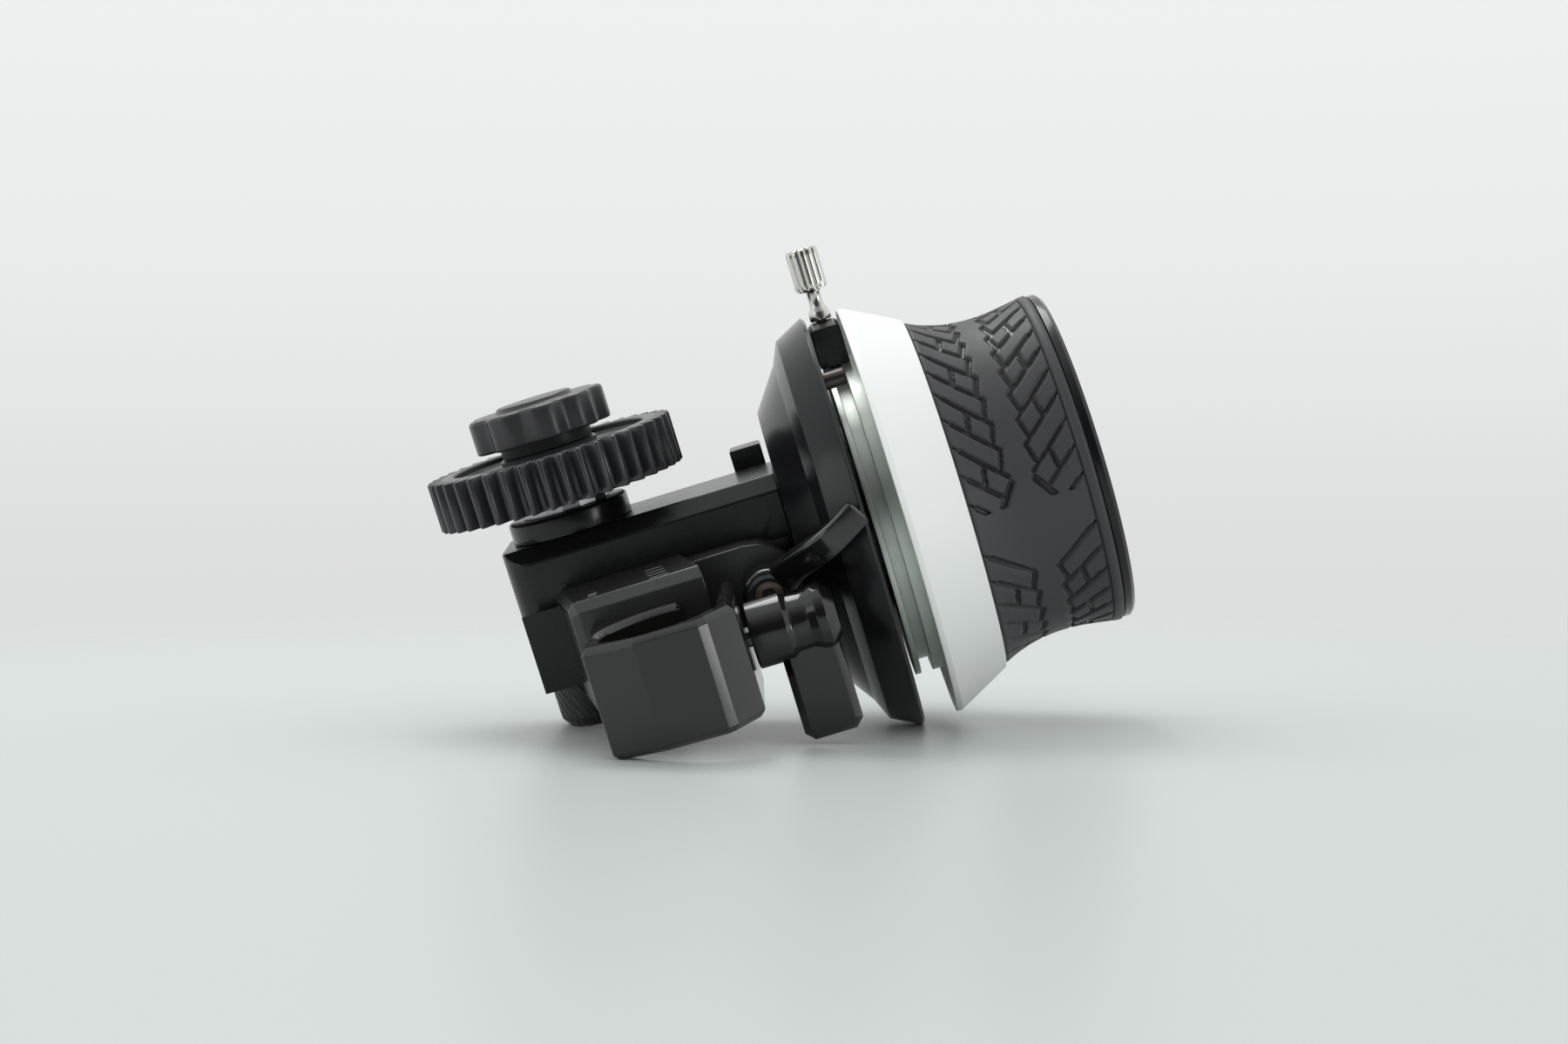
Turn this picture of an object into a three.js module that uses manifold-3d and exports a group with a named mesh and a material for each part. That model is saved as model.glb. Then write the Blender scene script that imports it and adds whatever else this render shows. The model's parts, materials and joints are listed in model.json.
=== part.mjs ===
// Mini follow focus: a gearbox that clamps to a 15 mm rod and turns a lens ring.
// A hand wheel turns a shaft, two bevel gears turn the drive shaft, and its toothed gear meets the lens.
//
// Millimetres. While modelling, X runs along the wheel's axis towards the grip, Z along the drive
// gear's axis, and Y away from the rod clamp. The two axes cross at zero. At the end the whole
// object is moved so that the origin lies at the centre of the rod's bore.

import * as THREE from "three";
import { mergeVertices } from "three/addons/utils/BufferGeometryUtils.js";
import Module from "manifold-3d";

const wasm = await Module();
wasm.setup();

// Driving dimensions

const fit = 0.05; // gap between pieces that are fixed to each other
const running = 0.1; // gap between pieces that move on each other
const overrun = 1; // how far a cutter runs past the surface that it cuts
const hair = 0.00001; // outline points closer than this count as one

const rod = { radius: 7.5 }; // the rod that the clamp holds

// Gearbox. The housing is measured from the crossing of the axes, the flange from its own back.
const housing = { half: 9.5, right: 28, top: 10.5, bottom: 8, edge: 2, lowerEdge: 0.8, corner: 3.5 };
const rooms = { gear: 6.3, drum: 7, drumTop: 3.2, bearingDepth: 3.5, throat: 3.4 };
const bushing = { wheel: 6.2, drive: 5.5, length: 4.2, lowerLength: 4, gap: 0.3 };
const shaft = { journal: 3, seat: 2.5, start: 3.6, short: 0.5 };
const flange = {
  thickness: 9.55, edge: 0.4, flatRadius: 18, bevelFrom: 1.55, leverGap: 0.325, rimFrom: 4.55, rimRise: 3.9,
  recessDepth: 2.4, recessGap: 1.33,
};
const flangeScrew = { shank: 1.25, head: 2.1, headHeight: 2.3, length: 12.8, inset: 2.4 };
const stopPin = { radius: 1.1, inset: 2.2, sunk: 2.6, proud: 2.8 };
const collar = { radius: 8.2, bore: 4.2, height: 2.9, edge: 0.3 };
const lowerCap = { radius: 9.2, height: 6.85, flute: 0.35, edge: 1.3, plug: 1.1 };
const lug = { width: 4.4, inset: 1, depth: 5.4, below: 5.5, above: 2.7, edge: 0.8 };

// Drive
const bevelGear = { module: 0.8, face: 2.8, hub: 4.6, back: 8.1, backlash: 0.12 };
const driveShaft = {
  step: 4.4, neck: 6.1, neckHeight: 1.5, square: 7.6, corner: 1.2, stud: 2, studLength: 4.7,
};
const driveGear = { module: 0.8, height: 6.7, rim: 13.2, hub: 6.6, recess: 1, backlash: 0.05 };
const knob = {
  radius: 9.3, scallop: 0.9, height: 4.6, edge: 0.5, boss: 6.2, bossHeight: 1.5, crown: 5, crownHeight: 0.6,
};

// Wheel. The walls of the disc and the grip are measured from the hub that they sit on.
const stopRing = {
  gap: 0.6, step: 6.6, width: 3.2, thickness: 2.75, wall: 0.4, lip: 0.4, lipDepth: 0.6, slotDepth: 1.3,
};
const hub = { gap: 0.55, bossGap: 1.2, sunk: 4.9 };
const disc = { slant: 0.55, rimWidth: 0.8, length: 8.55, rimWall: 9.06, frontWall: 5.3 };
const grip = { length: 16.75, leftWall: 4.7, rightWall: 3.65, waist: 1.45, lip: 0.4 };
const endPlate = { thickness: 1.45, inset: 0.25, edge: 0.5, rimWidth: 2.6, dish: 0.6, holeGap: 0.8 };
const plateScrew = { shank: 0.8, head: 1.45, headHeight: 0.5, length: 5, fromRim: 1.7 };
const endScrew = { shank: 1.6, depth: 7, head: 3.4, headHeight: 3.4 };
const stopBlock = { inset: 0.1, height: 5.5, edge: 0.4, gap: 0.05 };
const stopShoe = { lift: 0.15, stud: 0.7, studProud: 1.1 };
const thumbscrew = {
  neck: 1.45, waist: 0.95, neckHeight: 4.1, head: 2.15, headHeight: 5.7, flute: 0.2, edge: 0.4,
};

// Slide and rod clamp. The slider wraps the rail, and the clamp's walls are measured from the rod.
const rail = { below: 2.6, rootHalf: 4, faceHalf: 5.3, depth: 3.85, leftInset: 0.9, rightInset: 0.6 };
const railScrew = { shank: 1.25, head: 2.3, headHeight: 1.3, sunk: 0.1, length: 5.5, first: 4, spacing: 17 };
const slider = {
  gap: 0.4, left: 0, clearance: 1, slant: 3, cover: 2.8, reach: 10.3, above: 1.5, under: 2.4, edge: 1.4,
  plateWall: 0.9, endGap: 0.35,
};
const clamp = {
  top: 1.2, bottom: 12.7, edge: 0.7, leftWall: 1.7, backWall: 4, frontWall: 2.5, armWall: 2, arm: 2.3,
  armOverlap: 2.3, lug: 2.5, screwIn: 4.2, screw: 1.3, screwStart: 5.2,
};
const nose = { cheek: 6.2, left: 2.8, leftBack: 0.8, right: 5.6, shoulder: 5.5, corner: 1.5 };
const baseScrew = { shank: 1.25, head: 2.1, headHeight: 2.3, inset: 2.6, high: 0.9, low: 5.5, bite: 4 };
const clampLever = {
  gap: 0.25, past: 2.65, length: 10.95, hub: 4.25, hubTo: 5.45, waist: 3.85, bulbFrom: 7.45, bulbTo: 9.45,
  endRadius: 2.7, bladeFrom: 2.85, bladeTo: 10.35, bladeLength: 14.6, bladeHalf: 1.9, bladeEdge: 1.1,
  bore: 4.5,
};
const lockLever = {
  inset: 4.5, below: 2.4, hub: 3.4, gap: 0.2, height: 7.2, width: 3.6, reach: 15.4, flangeGap: 0.5, arm: 3,
  edge: 0.6,
};
const lockScrew = { shank: 1.5, head: 1.9, headHeight: 1.5 };
const lockPad = { radius: 2.6, thickness: 1.2, gap: 0.1 };

// Counts, angles and shares

const sides = { small: 10, bearing: 16, medium: 24, large: 40, socket: 6 };
const driveTeeth = 40;
const bevelTeeth = 14;
const knobLobes = 9;
const lobeSteps = 4;
const lobePower = 2;
const capFlutes = 32;
const screwFlutes = 12;
const gripSteps = 6;
const cornerSteps = 5;
const pressureDegrees = 20;
const pinDegrees = 38; // counted from +Z towards the clamp side
const stopHalfDegrees = 12;
const shoeHalfDegrees = 8;
const stopDegrees = [0, 250];
const lockLeverDegrees = 30; // above the wheel's axis
const stubAddendumShare = 0.8; // of the bevel gears' module
const gearDedendumShare = 1.25; // of the drive gear's module
const waistPlaceShare = 0.44; // of the grip's length
const neckShares = { collar: 0.3, waist: 0.5 }; // of the thumbscrew's neck
const socketShares = { width: 0.55, depth: 0.55 }; // of a screw's head
const lockArmShares = {
  backBend: 0.48, backRise: 0.63, backEnd: 0.7, frontBend: 0.4, frontRise: 0.53, frontEnd: 0.62,
};

// Geometry helpers

const axes = { x: new THREE.Vector3(1, 0, 0), y: new THREE.Vector3(0, 1, 0), z: new THREE.Vector3(0, 0, 1) };
const radians = THREE.MathUtils.degToRad;
const between = THREE.MathUtils.lerp;

// One closed surface with shared vertices, no empty triangles, and its faces pointing out.
function tidied(geometry) {
  const bare = geometry.clone();
  bare.deleteAttribute("normal");
  bare.deleteAttribute("uv");
  const merged = mergeVertices(bare);
  const corner = (index) => new THREE.Vector3().fromBufferAttribute(merged.attributes.position, index);
  const faces = [];
  let volume = 0;
  for (let i = 0; i < merged.index.count; i += 3) {
    const [a, b, c] = [0, 1, 2].map((step) => merged.index.getX(i + step));
    if (a === b || b === c || c === a) continue;
    faces.push([a, b, c]);
    volume += corner(a).dot(corner(b).cross(corner(c)));
  }
  merged.setIndex(faces.flatMap((face) => (volume < 0 ? face.reverse() : face)));
  return merged;
}

function solid(geometry) {
  const { attributes, index } = tidied(geometry);
  const vertProperties = Float32Array.from(attributes.position.array);
  const triVerts = Uint32Array.from(index.array);
  return new wasm.Manifold(new wasm.Mesh({ numProp: 3, vertProperties, triVerts }));
}

function surface(body) {
  const { vertProperties, triVerts } = body.getMesh();
  const geometry = new THREE.BufferGeometry();
  geometry.setAttribute("position", new THREE.BufferAttribute(vertProperties, 3));
  geometry.setIndex([...triVerts]);
  return geometry;
}

function cut(piece, ...tools) {
  return surface(tools.reduce((rest, tool) => rest.subtract(solid(tool)), solid(piece)));
}

function join(piece, ...others) {
  return surface(others.reduce((sum, other) => sum.add(solid(other)), solid(piece)));
}

const common = (piece, region) => surface(solid(piece).intersect(solid(region)));

// An outline pushed along an axis. Its points are (y, z) for x, (x, z) for y and (x, y) for z.
function prism(axis, outline, from, to, bevel = 0) {
  const points = outline.map(([u, v]) => new THREE.Vector2(u, v));
  const distinct = points.filter((point, i) => point.distanceTo(points.at(i - 1)) > hair);
  const geometry = new THREE.ExtrudeGeometry(new THREE.Shape(distinct), {
    depth: to - from - 2 * bevel,
    bevelEnabled: bevel > 0,
    bevelThickness: bevel,
    bevelSize: bevel,
    bevelOffset: -bevel,
    bevelSegments: 1,
  });
  geometry.translate(0, 0, bevel);
  const { x, y, z } = axes;
  const frames = {
    x: new THREE.Matrix4().makeBasis(y, z, x).setPosition(from, 0, 0),
    y: new THREE.Matrix4().makeBasis(x, z, y.clone().negate()).setPosition(0, to, 0),
    z: new THREE.Matrix4().makeBasis(x, y, z).setPosition(0, 0, from),
  };
  return geometry.applyMatrix4(frames[axis]);
}

// A profile of [along, radius] points turned about the x or z axis and closed on itself or on the axis.
function turned(axis, profile, count) {
  const onAxis = profile[0][1] === 0 && profile.at(-1)[1] === 0;
  const closed = onAxis ? profile : [...profile, profile[0]];
  const points = closed.map(([along, radius]) => new THREE.Vector2(radius, along));
  const geometry = new THREE.LatheGeometry(points, count);
  return axis === "x" ? geometry.rotateZ(-Math.PI / 2) : geometry.rotateX(Math.PI / 2);
}

// The radius of a polygon whose flats stand at the given radius, so that a round pin turns inside it.
const bored = (radius, count) => radius / Math.cos(Math.PI / count);

function round([u, v], radius, count) {
  const angles = Array.from({ length: count }, (_, i) => (2 * Math.PI * i) / count);
  return angles.map((angle) => [u + radius * Math.cos(angle), v + radius * Math.sin(angle)]);
}

const pin = (axis, at, radius, from, to, count) => prism(axis, round(at, radius, count), from, to);
const hole = (axis, at, radius, from, to, count) => pin(axis, at, bored(radius, count), from, to, count);
const rectangle = (left, right, low, high) => [[left, low], [right, low], [right, high], [left, high]];

// A round outline whose points lie in turn on its edge and in a flute.
function fluted(radius, flute, count) {
  return Array.from({ length: count * 2 }, (_, i) => {
    const angle = (Math.PI * i) / count;
    const reach = i % 2 === 0 ? radius : radius - flute;
    return [reach * Math.cos(angle), reach * Math.sin(angle)];
  });
}

// An outline whose corners are rounded by their own radii, or cut straight when steps is 1.
function eased(points, radii, steps) {
  return points.flatMap(([u, v], i) => {
    if (radii[i] === 0) return [[u, v]];
    const corner = new THREE.Vector2(u, v);
    const towards = (neighbour) => new THREE.Vector2(...neighbour).sub(corner).normalize();
    const before = towards(points.at(i - 1));
    const after = towards(points[(i + 1) % points.length]);
    const half = Math.acos(before.dot(after)) / 2;
    const centre = before.clone().add(after).setLength(radii[i] / Math.sin(half));
    const from = before.multiplyScalar(radii[i] / Math.tan(half)).sub(centre);
    const to = after.multiplyScalar(radii[i] / Math.tan(half)).sub(centre);
    const swing = Math.atan2(from.cross(to), from.dot(to));
    return Array.from({ length: steps + 1 }, (_, k) => {
      const spoke = from.clone().rotateAround(new THREE.Vector2(), (swing * k) / steps);
      return [u + centre.x + spoke.x, v + centre.y + spoke.y];
    });
  });
}

// Rings of equally many points, joined one to the next and the last to the first.
function ringSolid(rings) {
  const count = rings[0].length;
  const index = rings.flatMap((ring, i) => {
    const here = i * count;
    const there = ((i + 1) % rings.length) * count;
    return ring.flatMap((_, k) => {
      const next = (k + 1) % count;
      return [here + k, here + next, there + next, here + k, there + next, there + k];
    });
  });
  const geometry = new THREE.BufferGeometry();
  geometry.setAttribute("position", new THREE.Float32BufferAttribute(rings.flat(2), 3));
  geometry.setIndex(index);
  return geometry;
}

// One tooth as [radius, angle] points, an involute through the given heights, thinned by the backlash.
function toothOutline(pitchRadius, module, heights, backlash) {
  const pressure = radians(pressureDegrees);
  const involute = (angle) => Math.tan(angle) - angle;
  const halfPitch = (Math.PI * module - 2 * backlash) / (4 * pitchRadius);
  const flank = heights.map((radius) => {
    const angle = Math.acos(Math.min(1, (pitchRadius * Math.cos(pressure)) / radius));
    return [radius, halfPitch + involute(pressure) - involute(angle)];
  });
  return [...flank.map(([radius, angle]) => [radius, -angle]), ...flank.reverse()];
}

// A cap screw: a shank from its tip, and a head with a blind socket. Outwards is 1 or -1 along the axis.
function capScrew(axis, at, { shank, head, headHeight }, tip, headBack, outwards) {
  const headFront = headBack + outwards * headHeight;
  const socketFloor = headFront - outwards * headHeight * socketShares.depth;
  const span = (a, b) => [Math.min(a, b), Math.max(a, b)];
  const blank = join(
    pin(axis, at, shank, ...span(tip, between(headBack, socketFloor, 0.5)), sides.small),
    pin(axis, at, head, ...span(headBack, headFront), sides.small),
  );
  const socket = round(at, head * socketShares.width, sides.socket);
  return cut(blank, prism(axis, socket, ...span(socketFloor, headFront + outwards * overrun)));
}

// A place on a circle about the wheel's axis, as (y, z): zero degrees is +Z.
function onCircle(radius, degrees) {
  const angle = radians(degrees);
  return [-radius * Math.sin(angle), radius * Math.cos(angle)];
}

// Materials

function paint(color, roughness, metalness) {
  return new THREE.MeshStandardMaterial({ color, roughness, metalness });
}

const blackMetal = paint(0x17181a, 0.38, 0.6);
const moulded = paint(0x232427, 0.55, 0);
const rubber = paint(0x1b1c1e, 0.85, 0);
const white = paint(0xeeeeec, 0.6, 0);
const nickel = paint(0xb9bab2, 0.3, 1);
const steel = paint(0x9a9c9e, 0.35, 1);
const bronze = paint(0x9a7442, 0.45, 1);
const brass = paint(0xb09050, 0.4, 1);

const followFocus = new THREE.Group();

function add(name, geometry, material) {
  const mesh = new THREE.Mesh(tidied(geometry), material);
  mesh.name = name;
  followFocus.add(mesh);
}

// Places that several pieces share, first along the wheel's axis

const flangeBack = housing.right + fit;
const flangeFront = flangeBack + flange.thickness;
const recessFloor = flangeFront - flange.recessDepth;
const ringStart = flangeFront + stopRing.gap;
const ringEnd = ringStart + stopRing.width;
const stopCentre = (ringStart + ringEnd) / 2;
const discStart = ringEnd + fit;
const discEnd = discStart + disc.length;
const gripStart = discEnd + fit;
const hubEnd = gripStart + grip.length;
const endScrewSeat = hubEnd - hub.sunk;
const shaftEnd = endScrewSeat - shaft.short;

// Distances from the wheel's axis towards the clamp

const railFace = housing.half + fit + rail.depth;
const plateFront = railFace + slider.cover;
const sliderFront = plateFront + slider.reach;
const rodFront = sliderFront + clamp.backWall + rod.radius;
const clampFront = rodFront + rod.radius + clamp.frontWall;
const armBack = sliderFront - clamp.armOverlap;
const clampMiddle = (clamp.top - clamp.bottom) / 2;
const clampScrewAxis = [-armBack - clamp.screwIn, clampMiddle];

// Radii about the wheel's axis. The flange's bevel starts where it clears the clamp lever.

const leverReach = Math.hypot(armBack + clamp.screwIn - clampLever.hub, clampMiddle);
const bevelRadius = leverReach - flange.leverGap;
const flangeRadius = bevelRadius + flange.rimRise;
const ringRadius = flangeRadius - stopRing.step;
const ringBore = ringRadius - stopRing.thickness;
const slotMouth = ringRadius - stopRing.lipDepth;
const slotFloor = slotMouth - stopRing.slotDepth;
const hubRadius = ringBore - fit;
const gripLeft = hubRadius + grip.leftWall;
const gripRight = hubRadius + grip.rightWall;
const screwRise = housing.top - flangeScrew.inset;
const screwDrop = housing.bottom - flangeScrew.inset;
const screwSpread = housing.half - flangeScrew.inset;
const recessRadius = Math.hypot(screwSpread, screwRise) + flangeScrew.head + flange.recessGap;

// Places along x of the clamp, which hangs as near to the flange as its lever lets it

const clampLeverStart = flangeBack + clampLever.past - clampLever.length;
const armOuter = clampLeverStart - clampLever.gap;
const armInner = armOuter - clamp.arm;
const rodRight = armOuter - clamp.armWall - rod.radius;
const clampLeft = rodRight - rod.radius - clamp.leftWall;

// Gearbox housing: a milled block, open at the bottom for the drive and at the right for the wheel shaft

const railHeadBack = railFace - railScrew.sunk - railScrew.headHeight;
const railScrewTip = railHeadBack - railScrew.length;
const railScrewPlaces = [railScrew.first, railScrew.first + railScrew.spacing].map((x) => [x, -rail.below]);
const flangeHeadBack = recessFloor - flangeScrew.headHeight;
const flangeScrewTip = flangeHeadBack - flangeScrew.length;
const flangeScrewPlaces = [
  [screwSpread, screwRise],
  [-screwSpread, screwRise],
  [-screwSpread, -screwDrop],
  [screwSpread, -screwDrop],
];
const bearingFloor = housing.top - rooms.bearingDepth;

function gearboxHousing() {
  const { half, right, top, bottom, edge, lowerEdge, corner } = housing;
  const section = eased(rectangle(-half, half, -bottom, top), [lowerEdge, lowerEdge, edge, edge], 1);
  const plan = eased(rectangle(-half, right, -half, half), [corner, 0, 0, corner], cornerSteps);
  return cut(
    common(prism("x", section, -half - overrun, right), prism("z", plan, -bottom, top)),
    hole("z", [0, 0], rooms.drum, -bottom - overrun, rooms.drumTop, sides.medium),
    hole("z", [0, 0], rooms.throat, 0, top, sides.bearing),
    hole("z", [0, 0], bushing.drive + fit, bearingFloor, top + overrun, sides.bearing),
    hole("x", [0, 0], rooms.gear, 0, right + overrun, sides.bearing),
    ...flangeScrewPlaces.map((at) =>
      hole("x", at, flangeScrew.shank + fit, flangeScrewTip - fit, right + overrun, sides.small),
    ),
    ...railScrewPlaces.map((at) =>
      hole("y", at, railScrew.shank + fit, -half - overrun, -railScrewTip + fit, sides.small),
    ),
  );
}

add("gearbox_housing", gearboxHousing(), blackMetal);

// Flange: the thick disc that closes the housing and carries the outer bushing and the stop pin

const pinPlace = onCircle(flangeRadius - stopPin.inset, pinDegrees);
const pinBack = flangeFront - stopPin.sunk;
const pinFront = flangeFront + stopPin.proud;

function flangeDisc() {
  const { edge, flatRadius, bevelFrom, rimFrom } = flange;
  const bore = bored(rooms.gear, sides.large);
  const rimBack = flangeBack + rimFrom;
  const profile = [
    [flangeBack, bore], [flangeBack, flatRadius], [flangeBack + bevelFrom, bevelRadius],
    [rimBack, flangeRadius - edge], [rimBack + edge, flangeRadius], [flangeFront - edge, flangeRadius],
    [flangeFront, flangeRadius - edge], [flangeFront, recessRadius], [recessFloor, recessRadius],
    [recessFloor, bore],
  ];
  return cut(
    turned("x", profile, sides.large),
    hole("x", pinPlace, stopPin.radius + fit, pinBack - fit, flangeFront + overrun, sides.small),
    ...flangeScrewPlaces.flatMap((at) => [
      hole("x", at, flangeScrew.shank + fit, flangeBack - overrun, flangeFront, sides.small),
      hole("x", at, flangeScrew.head + fit, flangeHeadBack - fit, flangeFront, sides.small),
    ]),
  );
}

add("flange", flangeDisc(), blackMetal);
add("stop_pin", pin("x", pinPlace, stopPin.radius, pinBack, pinFront, sides.small), steel);
flangeScrewPlaces.forEach((at, i) => {
  add(`flange_screw_${i + 1}`, capScrew("x", at, flangeScrew, flangeScrewTip, flangeHeadBack, 1), steel);
});

// Bushings of the two shafts

function bushingRing(axis, start, end, outer, journal) {
  const bore = bored(journal + running, sides.bearing);
  return turned(axis, [[start, bore], [start, outer], [end, outer], [end, bore]], sides.bearing);
}

const innerStart = bevelGear.back + bushing.gap;
const innerEnd = innerStart + bushing.length;
const outerStart = recessFloor - bushing.length;
const upperStart = bearingFloor + fit;
const capFloor = -bevelGear.back - running - bushing.lowerLength;
const lowerEnd = capFloor + bushing.lowerLength;
add("wheel_bushing_inner", bushingRing("x", innerStart, innerEnd, bushing.wheel, shaft.journal), bronze);
add("wheel_bushing_outer", bushingRing("x", outerStart, recessFloor, bushing.wheel, shaft.journal), bronze);
add("drive_bushing_upper", bushingRing("z", upperStart, housing.top, bushing.drive, shaft.journal), bronze);
add("drive_bushing_lower", bushingRing("z", capFloor, lowerEnd, bushing.drive, shaft.seat), bronze);

// Lower cap: screwed into the housing from below, with a fluted edge for the fingers

function lowerCapSolid() {
  const { radius, height, flute, edge, plug } = lowerCap;
  const top = -housing.bottom - fit;
  const bottom = top - height;
  const envelope = [[bottom, 0], [bottom, radius - edge], [bottom + edge, radius], [top, radius], [top, 0]];
  const rim = prism("z", fluted(radius, flute, capFlutes), bottom, top);
  return cut(
    join(
      common(rim, turned("z", envelope, 2 * capFlutes)),
      pin("z", [0, 0], rooms.drum - fit, top - plug, top + plug, sides.medium),
    ),
    hole("z", [0, 0], bushing.drive + fit, capFloor - fit, top + plug + overrun, sides.bearing),
  );
}

add("lower_cap", lowerCapSolid(), blackMetal);

// Top collar: the round step that the drive shaft's neck runs over

const collarBottom = housing.top + fit;
const collarTop = collarBottom + collar.height;
const collarProfile = [
  [collarBottom, collar.bore], [collarBottom, collar.radius], [collarTop - collar.edge, collar.radius],
  [collarTop, collar.radius - collar.edge], [collarTop, collar.bore],
];
add("top_collar", turned("z", collarProfile, sides.medium), blackMetal);

// Slide rail: a dovetail bar on the housing's front, held by two sunk screws

function railOutline(grow) {
  const widening = (rail.faceHalf - rail.rootHalf) / rail.depth;
  const side = ([depth, sign]) => {
    const half = rail.rootHalf + depth * widening + grow * Math.hypot(1, widening);
    return [-housing.half - fit - depth, -rail.below + sign * half];
  };
  return [[-grow, -1], [rail.depth + grow, -1], [rail.depth + grow, 1], [-grow, 1]].map(side);
}

const slideRail = cut(
  prism("x", railOutline(0), rail.leftInset - housing.half, housing.right - rail.rightInset),
  ...railScrewPlaces.flatMap((at) => [
    hole("y", at, railScrew.shank + fit, -railFace - overrun, -housing.half + overrun, sides.small),
    hole("y", at, railScrew.head + fit, -railFace - overrun, -railHeadBack + fit, sides.small),
  ]),
);
add("slide_rail", slideRail, blackMetal);
railScrewPlaces.forEach((at, i) => {
  add(`rail_screw_${i + 1}`, capScrew("y", at, railScrew, -railScrewTip, -railHeadBack, -1), steel);
});

// Small lug behind the housing, next to the flange

function rearLug() {
  const { width, inset, depth, below, above, edge } = lug;
  const right = housing.right - inset;
  const back = housing.half + fit;
  const corners = rectangle(right - width, right, back, back + depth);
  const outline = eased(corners, [0, 0, edge, edge], cornerSteps);
  return prism("z", outline, housing.top - below, housing.top + above);
}

add("rear_lug", rearLug(), blackMetal);

// Bevel gear along x: stubbed teeth that all run to the point where the two shafts cross

function bevelGearSolid(phase) {
  const { module, face, hub: hubSize, back, backlash } = bevelGear;
  const cone = Math.PI / 4;
  const coneLength = (module * bevelTeeth) / 2 / Math.sin(cone);
  const backApex = coneLength / Math.cos(cone);
  const root = coneLength - module;
  const tooth = toothOutline(coneLength, module, [root, coneLength + module * stubAddendumShare], backlash);
  const places = Array.from({ length: bevelTeeth }, (_, i) =>
    tooth.map(([slant, turn]) => [slant, phase + (2 * Math.PI * i) / bevelTeeth + turn / Math.cos(cone)]),
  ).flat();
  const at = (along, radius, angle) => [along, radius * Math.sin(angle), radius * Math.cos(angle)];
  const toothed = (scale) =>
    places.map(([slant, angle]) =>
      at((backApex - slant * Math.sin(cone)) * scale, slant * Math.cos(cone) * scale, angle),
    );
  const plain = (along, radius) => places.map(([, angle]) => at(along, radius, angle));
  const inner = (coneLength - face) / coneLength;
  const bore = bored(shaft.seat + fit, sides.small);
  return ringSolid([
    toothed(1),
    toothed(inner),
    plain((backApex - root * Math.sin(cone)) * inner, bore),
    plain(back, bore),
    plain(back, hubSize),
    plain(backApex - hubSize * Math.tan(cone), hubSize),
  ]);
}

// Wheel shaft with its bevel gear

const shoulder = bevelGear.back + fit;
const tapped = { radius: endScrew.shank + fit, floor: shaftEnd - endScrew.depth };
const shaftProfile = [
  [shaft.start, 0], [shaft.start, shaft.seat], [shoulder, shaft.seat], [shoulder, shaft.journal],
  [shaftEnd, shaft.journal], [shaftEnd, tapped.radius], [tapped.floor, tapped.radius], [tapped.floor, 0],
];
add("wheel_shaft", turned("x", shaftProfile, sides.bearing), steel);
add("wheel_bevel_gear", bevelGearSolid(Math.PI), brass);

// Stop ring: a nickel ring with a T-shaped groove that the stops slide in

function stopRingSolid() {
  const { wall, lip } = stopRing;
  const inner = bored(ringBore, sides.large);
  const profile = [
    [ringStart, inner], [ringStart, ringRadius], [ringStart + wall + lip, ringRadius],
    [ringStart + wall + lip, slotMouth], [ringStart + wall, slotMouth], [ringStart + wall, slotFloor],
    [ringEnd - wall, slotFloor], [ringEnd - wall, slotMouth], [ringEnd - wall - lip, slotMouth],
    [ringEnd - wall - lip, ringRadius], [ringEnd, ringRadius], [ringEnd, inner],
  ];
  return turned("x", profile, sides.large);
}

add("stop_ring", stopRingSolid(), nickel);

// Wheel hub: the core on the shaft that carries the ring, the disc, the grip and the end plate

const plateBack = hubEnd + fit;
const plateFace = plateBack + endPlate.thickness;
const dishFloor = plateFace - endPlate.dish;
const plateHole = endScrew.head + endPlate.holeGap;
const plateScrewPlaces = [0, 120, 240].map((degrees) => onCircle(hubRadius - plateScrew.fromRim, degrees));
const plateScrewTip = dishFloor - plateScrew.length;

function wheelHub() {
  const bore = bored(shaft.journal + fit, sides.large);
  const well = bored(plateHole, sides.large);
  const bossStart = recessFloor + hub.gap;
  const boss = recessRadius - hub.bossGap;
  const profile = [
    [bossStart, bore], [bossStart, boss], [ringStart, boss], [ringStart, hubRadius], [hubEnd, hubRadius],
    [hubEnd, well], [endScrewSeat, well], [endScrewSeat, bore],
  ];
  return cut(
    turned("x", profile, sides.large),
    ...plateScrewPlaces.map((at) =>
      hole("x", at, plateScrew.shank + fit, plateScrewTip - fit, hubEnd + overrun, sides.small),
    ),
  );
}

add("wheel_hub", wheelHub(), moulded);

// Marking disc: a white ring that slants to the front behind a narrow rim

const seat = bored(hubRadius + fit, sides.large);
const rimRadius = hubRadius + disc.rimWall;
const rimStart = discStart + disc.slant;
const discProfile = [
  [discStart, seat], [discStart, ringRadius], [rimStart, rimRadius], [rimStart + disc.rimWidth, rimRadius],
  [discEnd, hubRadius + disc.frontWall], [discEnd, seat],
];
add("marking_disc", turned("x", discProfile, sides.large), white);

// Grip sleeve: rubber with a drawn-in waist

function gripSleeve() {
  const { waist, lip } = grip;
  const skew = Math.log(0.5) / Math.log(waistPlaceShare);
  const curve = Array.from({ length: gripSteps + 1 }, (_, i) => {
    const share = i / gripSteps;
    const drawnIn = waist * Math.sin(Math.PI * share ** skew);
    return [between(gripStart + lip, hubEnd - lip, share), between(gripLeft, gripRight, share) - drawnIn];
  });
  const profile = [
    [gripStart, seat], [gripStart, gripLeft - lip], ...curve, [hubEnd, gripRight - lip], [hubEnd, seat],
  ];
  return turned("x", profile, sides.large);
}

add("grip_sleeve", gripSleeve(), rubber);

// End plate, its three screws and the screw that holds the wheel on its shaft

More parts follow.
